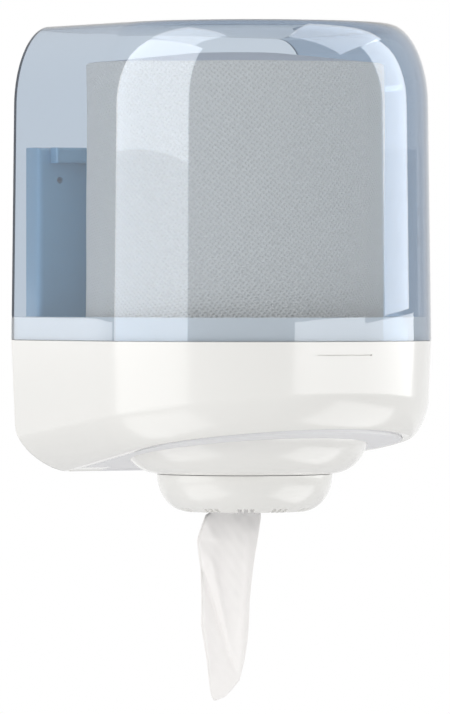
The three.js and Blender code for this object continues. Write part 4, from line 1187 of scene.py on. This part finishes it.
for body, entries in COPIES.items():
    for node, slot, _ in entries:
        wear(copies[node], FINISH[slot])
for piece in (base, bowl, cup, bpy.data.objects["hinge_ear_left"], bpy.data.objects["hinge_ear_right"]):
    wear(piece, white_gloss)
wear(hood, clear_blue)
# Painted shade: the hood's end faces and the inner skin by its rear edge wear opaque navy.
wear_part(hood, painted_dark_edge, edge_shade_faces)
wear_part(copies["rear_casing"], grey_plastic, hinge_barrel)
wear(roll, roll_paper())
wear(tail, tail_paper())
print("finishes given to every piece")

# %% [markdown]
# ## Light and surroundings
# Four broad soft lamps and an even light from all round shade the matt surfaces. The bright bands that
# the shiny front shows are mirror images of white cards, so each card is a lamp that leaves matt
# surfaces alone. Where a card stands follows from the band's place on the round front, by the law of
# reflection: a card low down gives the band along the seam, a tilted one the bright patch on the
# shoulder or the hem.

# %% Lamps, cards, world and floor
MIDDLE = Vector((0.0, -FRONT_CENTRE, 0.0))
WORLD_LEVEL = 0.71
FLOOR_Z, FLOOR_HALF = -0.6, 1.5
LEFT_CARD = -99.9
UPRIGHT_CARDS = [
    # name, azimuth (degrees, 0 in front, right is positive), distance, width, lower and upper edge, radiance
    ("left card", LEFT_CARD, 1.4, 1.50, 0.155, 1.70, 4.2),
    ("left middle card", LEFT_CARD, 1.4, 1.50, -0.10, 0.155, 2.9),
    ("left low card", LEFT_CARD, 1.4, 1.50, -0.50, -0.10, 1.25),
    ("rear band card", -145.0, 1.5, 0.80, -0.06, 0.004, 2.5),
    ("right card", 73.4, 1.5, 0.70, 0.014, 1.26, 4.0),
    ("front band card", 19.5, 1.5, 1.36, -0.10, 0.017, 3.4),
    ("right band card", 68.5, 1.5, 1.36, -0.10, 0.009, 3.4),
    ("front low card", 19.5, 1.5, 1.36, -0.25, -0.10, 2.0),
    ("right low card", 68.5, 1.5, 1.36, -0.25, -0.10, 2.0),
]
SOFT_LAMPS = [
    # name, azimuth, elevation, distance, size, radiance
    ("soft key", -60.0, 35.0, 1.7, 1.8, 0.50),
    ("left fill", -105.0, 0.0, 1.7, 1.6, 0.70),
    ("right fill", 85.0, 0.0, 1.7, 1.6, 0.55),
    ("low fill", 0.0, -16.0, 1.7, 0.9, 1.2),
]
TILTED_CARDS = [
    # name, azimuth, elevation, distance, width, height, radiance
    ("left high card", -105.0, 62.0, 1.9, 1.10, 0.75, 2.8),
    ("right high card", 64.0, 57.0, 1.8, 1.50, 1.10, 3.3),
    ("left foot card", -95.0, -45.0, 0.6, 0.50, 0.35, 1.15),
    ("right foot card", 50.0, -45.0, 0.6, 0.50, 0.35, 1.50),
]


def seen_at(azimuth, elevation, distance):
    """A place seen from the middle of the front unit at these angles in degrees."""
    turn, rise = math.radians(azimuth), math.radians(elevation)
    reach = distance * math.cos(rise)
    return MIDDLE + Vector((reach * math.sin(turn), -reach * math.cos(turn), distance * math.sin(rise)))


def add_lamp(name, place, aim, size, radiance):
    """A rectangular lamp at place that shines towards aim. Power follows from radiance times area."""
    data = bpy.data.lights.new(name, "AREA")
    data.shape = "RECTANGLE"
    data.size, data.size_y = size
    data.energy = radiance * math.pi * size[0] * size[1]
    lamp = bpy.data.objects.new(name, data)
    bpy.context.collection.objects.link(lamp)
    lamp.location = place
    lamp.rotation_euler = (Vector(aim) - Vector(place)).to_track_quat("-Z", "Y").to_euler()
    return lamp


def add_soft_lamps():
    """Lamps for matt surfaces, which mirrored and bent sight lines don't see."""
    for name, azimuth, elevation, distance, size, radiance in SOFT_LAMPS:
        lamp = add_lamp(name, seen_at(azimuth, elevation, distance), MIDDLE, (size, size), radiance)
        lamp.visible_glossy = False
        lamp.visible_transmission = False


def add_cards():
    """Lamps for mirrored and bent sight lines, which matt surfaces don't see."""
    cards = []
    for name, azimuth, distance, width, low, high, radiance in UPRIGHT_CARDS:
        lift = Vector((0, 0, (low + high) / 2))
        place = seen_at(azimuth, 0.0, distance) + lift
        cards.append(add_lamp(name, place, MIDDLE + lift, (width, high - low), radiance))
    for name, azimuth, elevation, distance, width, height, radiance in TILTED_CARDS:
        place = seen_at(azimuth, elevation, distance)
        cards.append(add_lamp(name, place, MIDDLE, (width, height), radiance))
    for card in cards:
        card.visible_diffuse = False


def add_world():
    """White for straight, mirrored and bent sight lines, and a weaker grey that lights matt surfaces."""
    world = bpy.data.worlds.new("room")
    world.use_nodes = True
    tree = world.node_tree
    background = tree.nodes["Background"]
    path = tree.nodes.new("ShaderNodeLightPath")
    seen = math_node(tree, "MAXIMUM", path.outputs["Is Camera Ray"], path.outputs["Is Transmission Ray"])
    seen = math_node(tree, "MAXIMUM", seen, path.outputs["Is Glossy Ray"])
    mix = tree.nodes.new("ShaderNodeMix")
    mix.data_type = "RGBA"
    mix.inputs[6].default_value = (WORLD_LEVEL, WORLD_LEVEL, WORLD_LEVEL, 1)
    mix.inputs[7].default_value = (1, 1, 1, 1)
    tree.links.new(seen, mix.inputs["Factor"])
    tree.links.new(mix.outputs[2], background.inputs["Color"])
    bpy.context.scene.world = world


def add_floor():
    """A plain pale floor, seen from above only."""
    corners = FLOOR_HALF * np.array([[-1, -1], [1, -1], [1, 1], [-1, 1]])
    points = np.column_stack([corners, np.full(4, FLOOR_Z)])
    mesh = mesh_from_arrays("floor", points, np.array([[0, 1, 2, 3]]))
    floor = bpy.data.objects.new("floor", mesh)
    bpy.context.collection.objects.link(floor)
    material, tree, principled, output = shader("pale_floor")
    principled.inputs["Base Color"].default_value = (0.93, 0.93, 0.93, 1)
    principled.inputs["Roughness"].default_value = 0.9
    geometry = tree.nodes.new("ShaderNodeNewGeometry")
    through = tree.nodes.new("ShaderNodeBsdfTransparent")
    mix = tree.nodes.new("ShaderNodeMixShader")
    tree.links.new(geometry.outputs["Backfacing"], mix.inputs["Fac"])
    tree.links.new(principled.outputs["BSDF"], mix.inputs[1])
    tree.links.new(through.outputs["BSDF"], mix.inputs[2])
    tree.links.new(mix.outputs["Shader"], output.inputs["Surface"])
    mesh.materials.append(material)


add_soft_lamps()
add_cards()
add_world()
add_floor()
bpy.context.scene.view_settings.view_transform = "Standard"

# %% [markdown]
# ## Boxes as plain lists
# A helper gives a box as plain lists, rounded to a hundredth of a millimetre.

# %% Box helper
def plain(box):
    """The box as plain lists, rounded to a hundredth of a millimetre."""
    return [[round(float(x), 5) for x in corner] for corner in box]
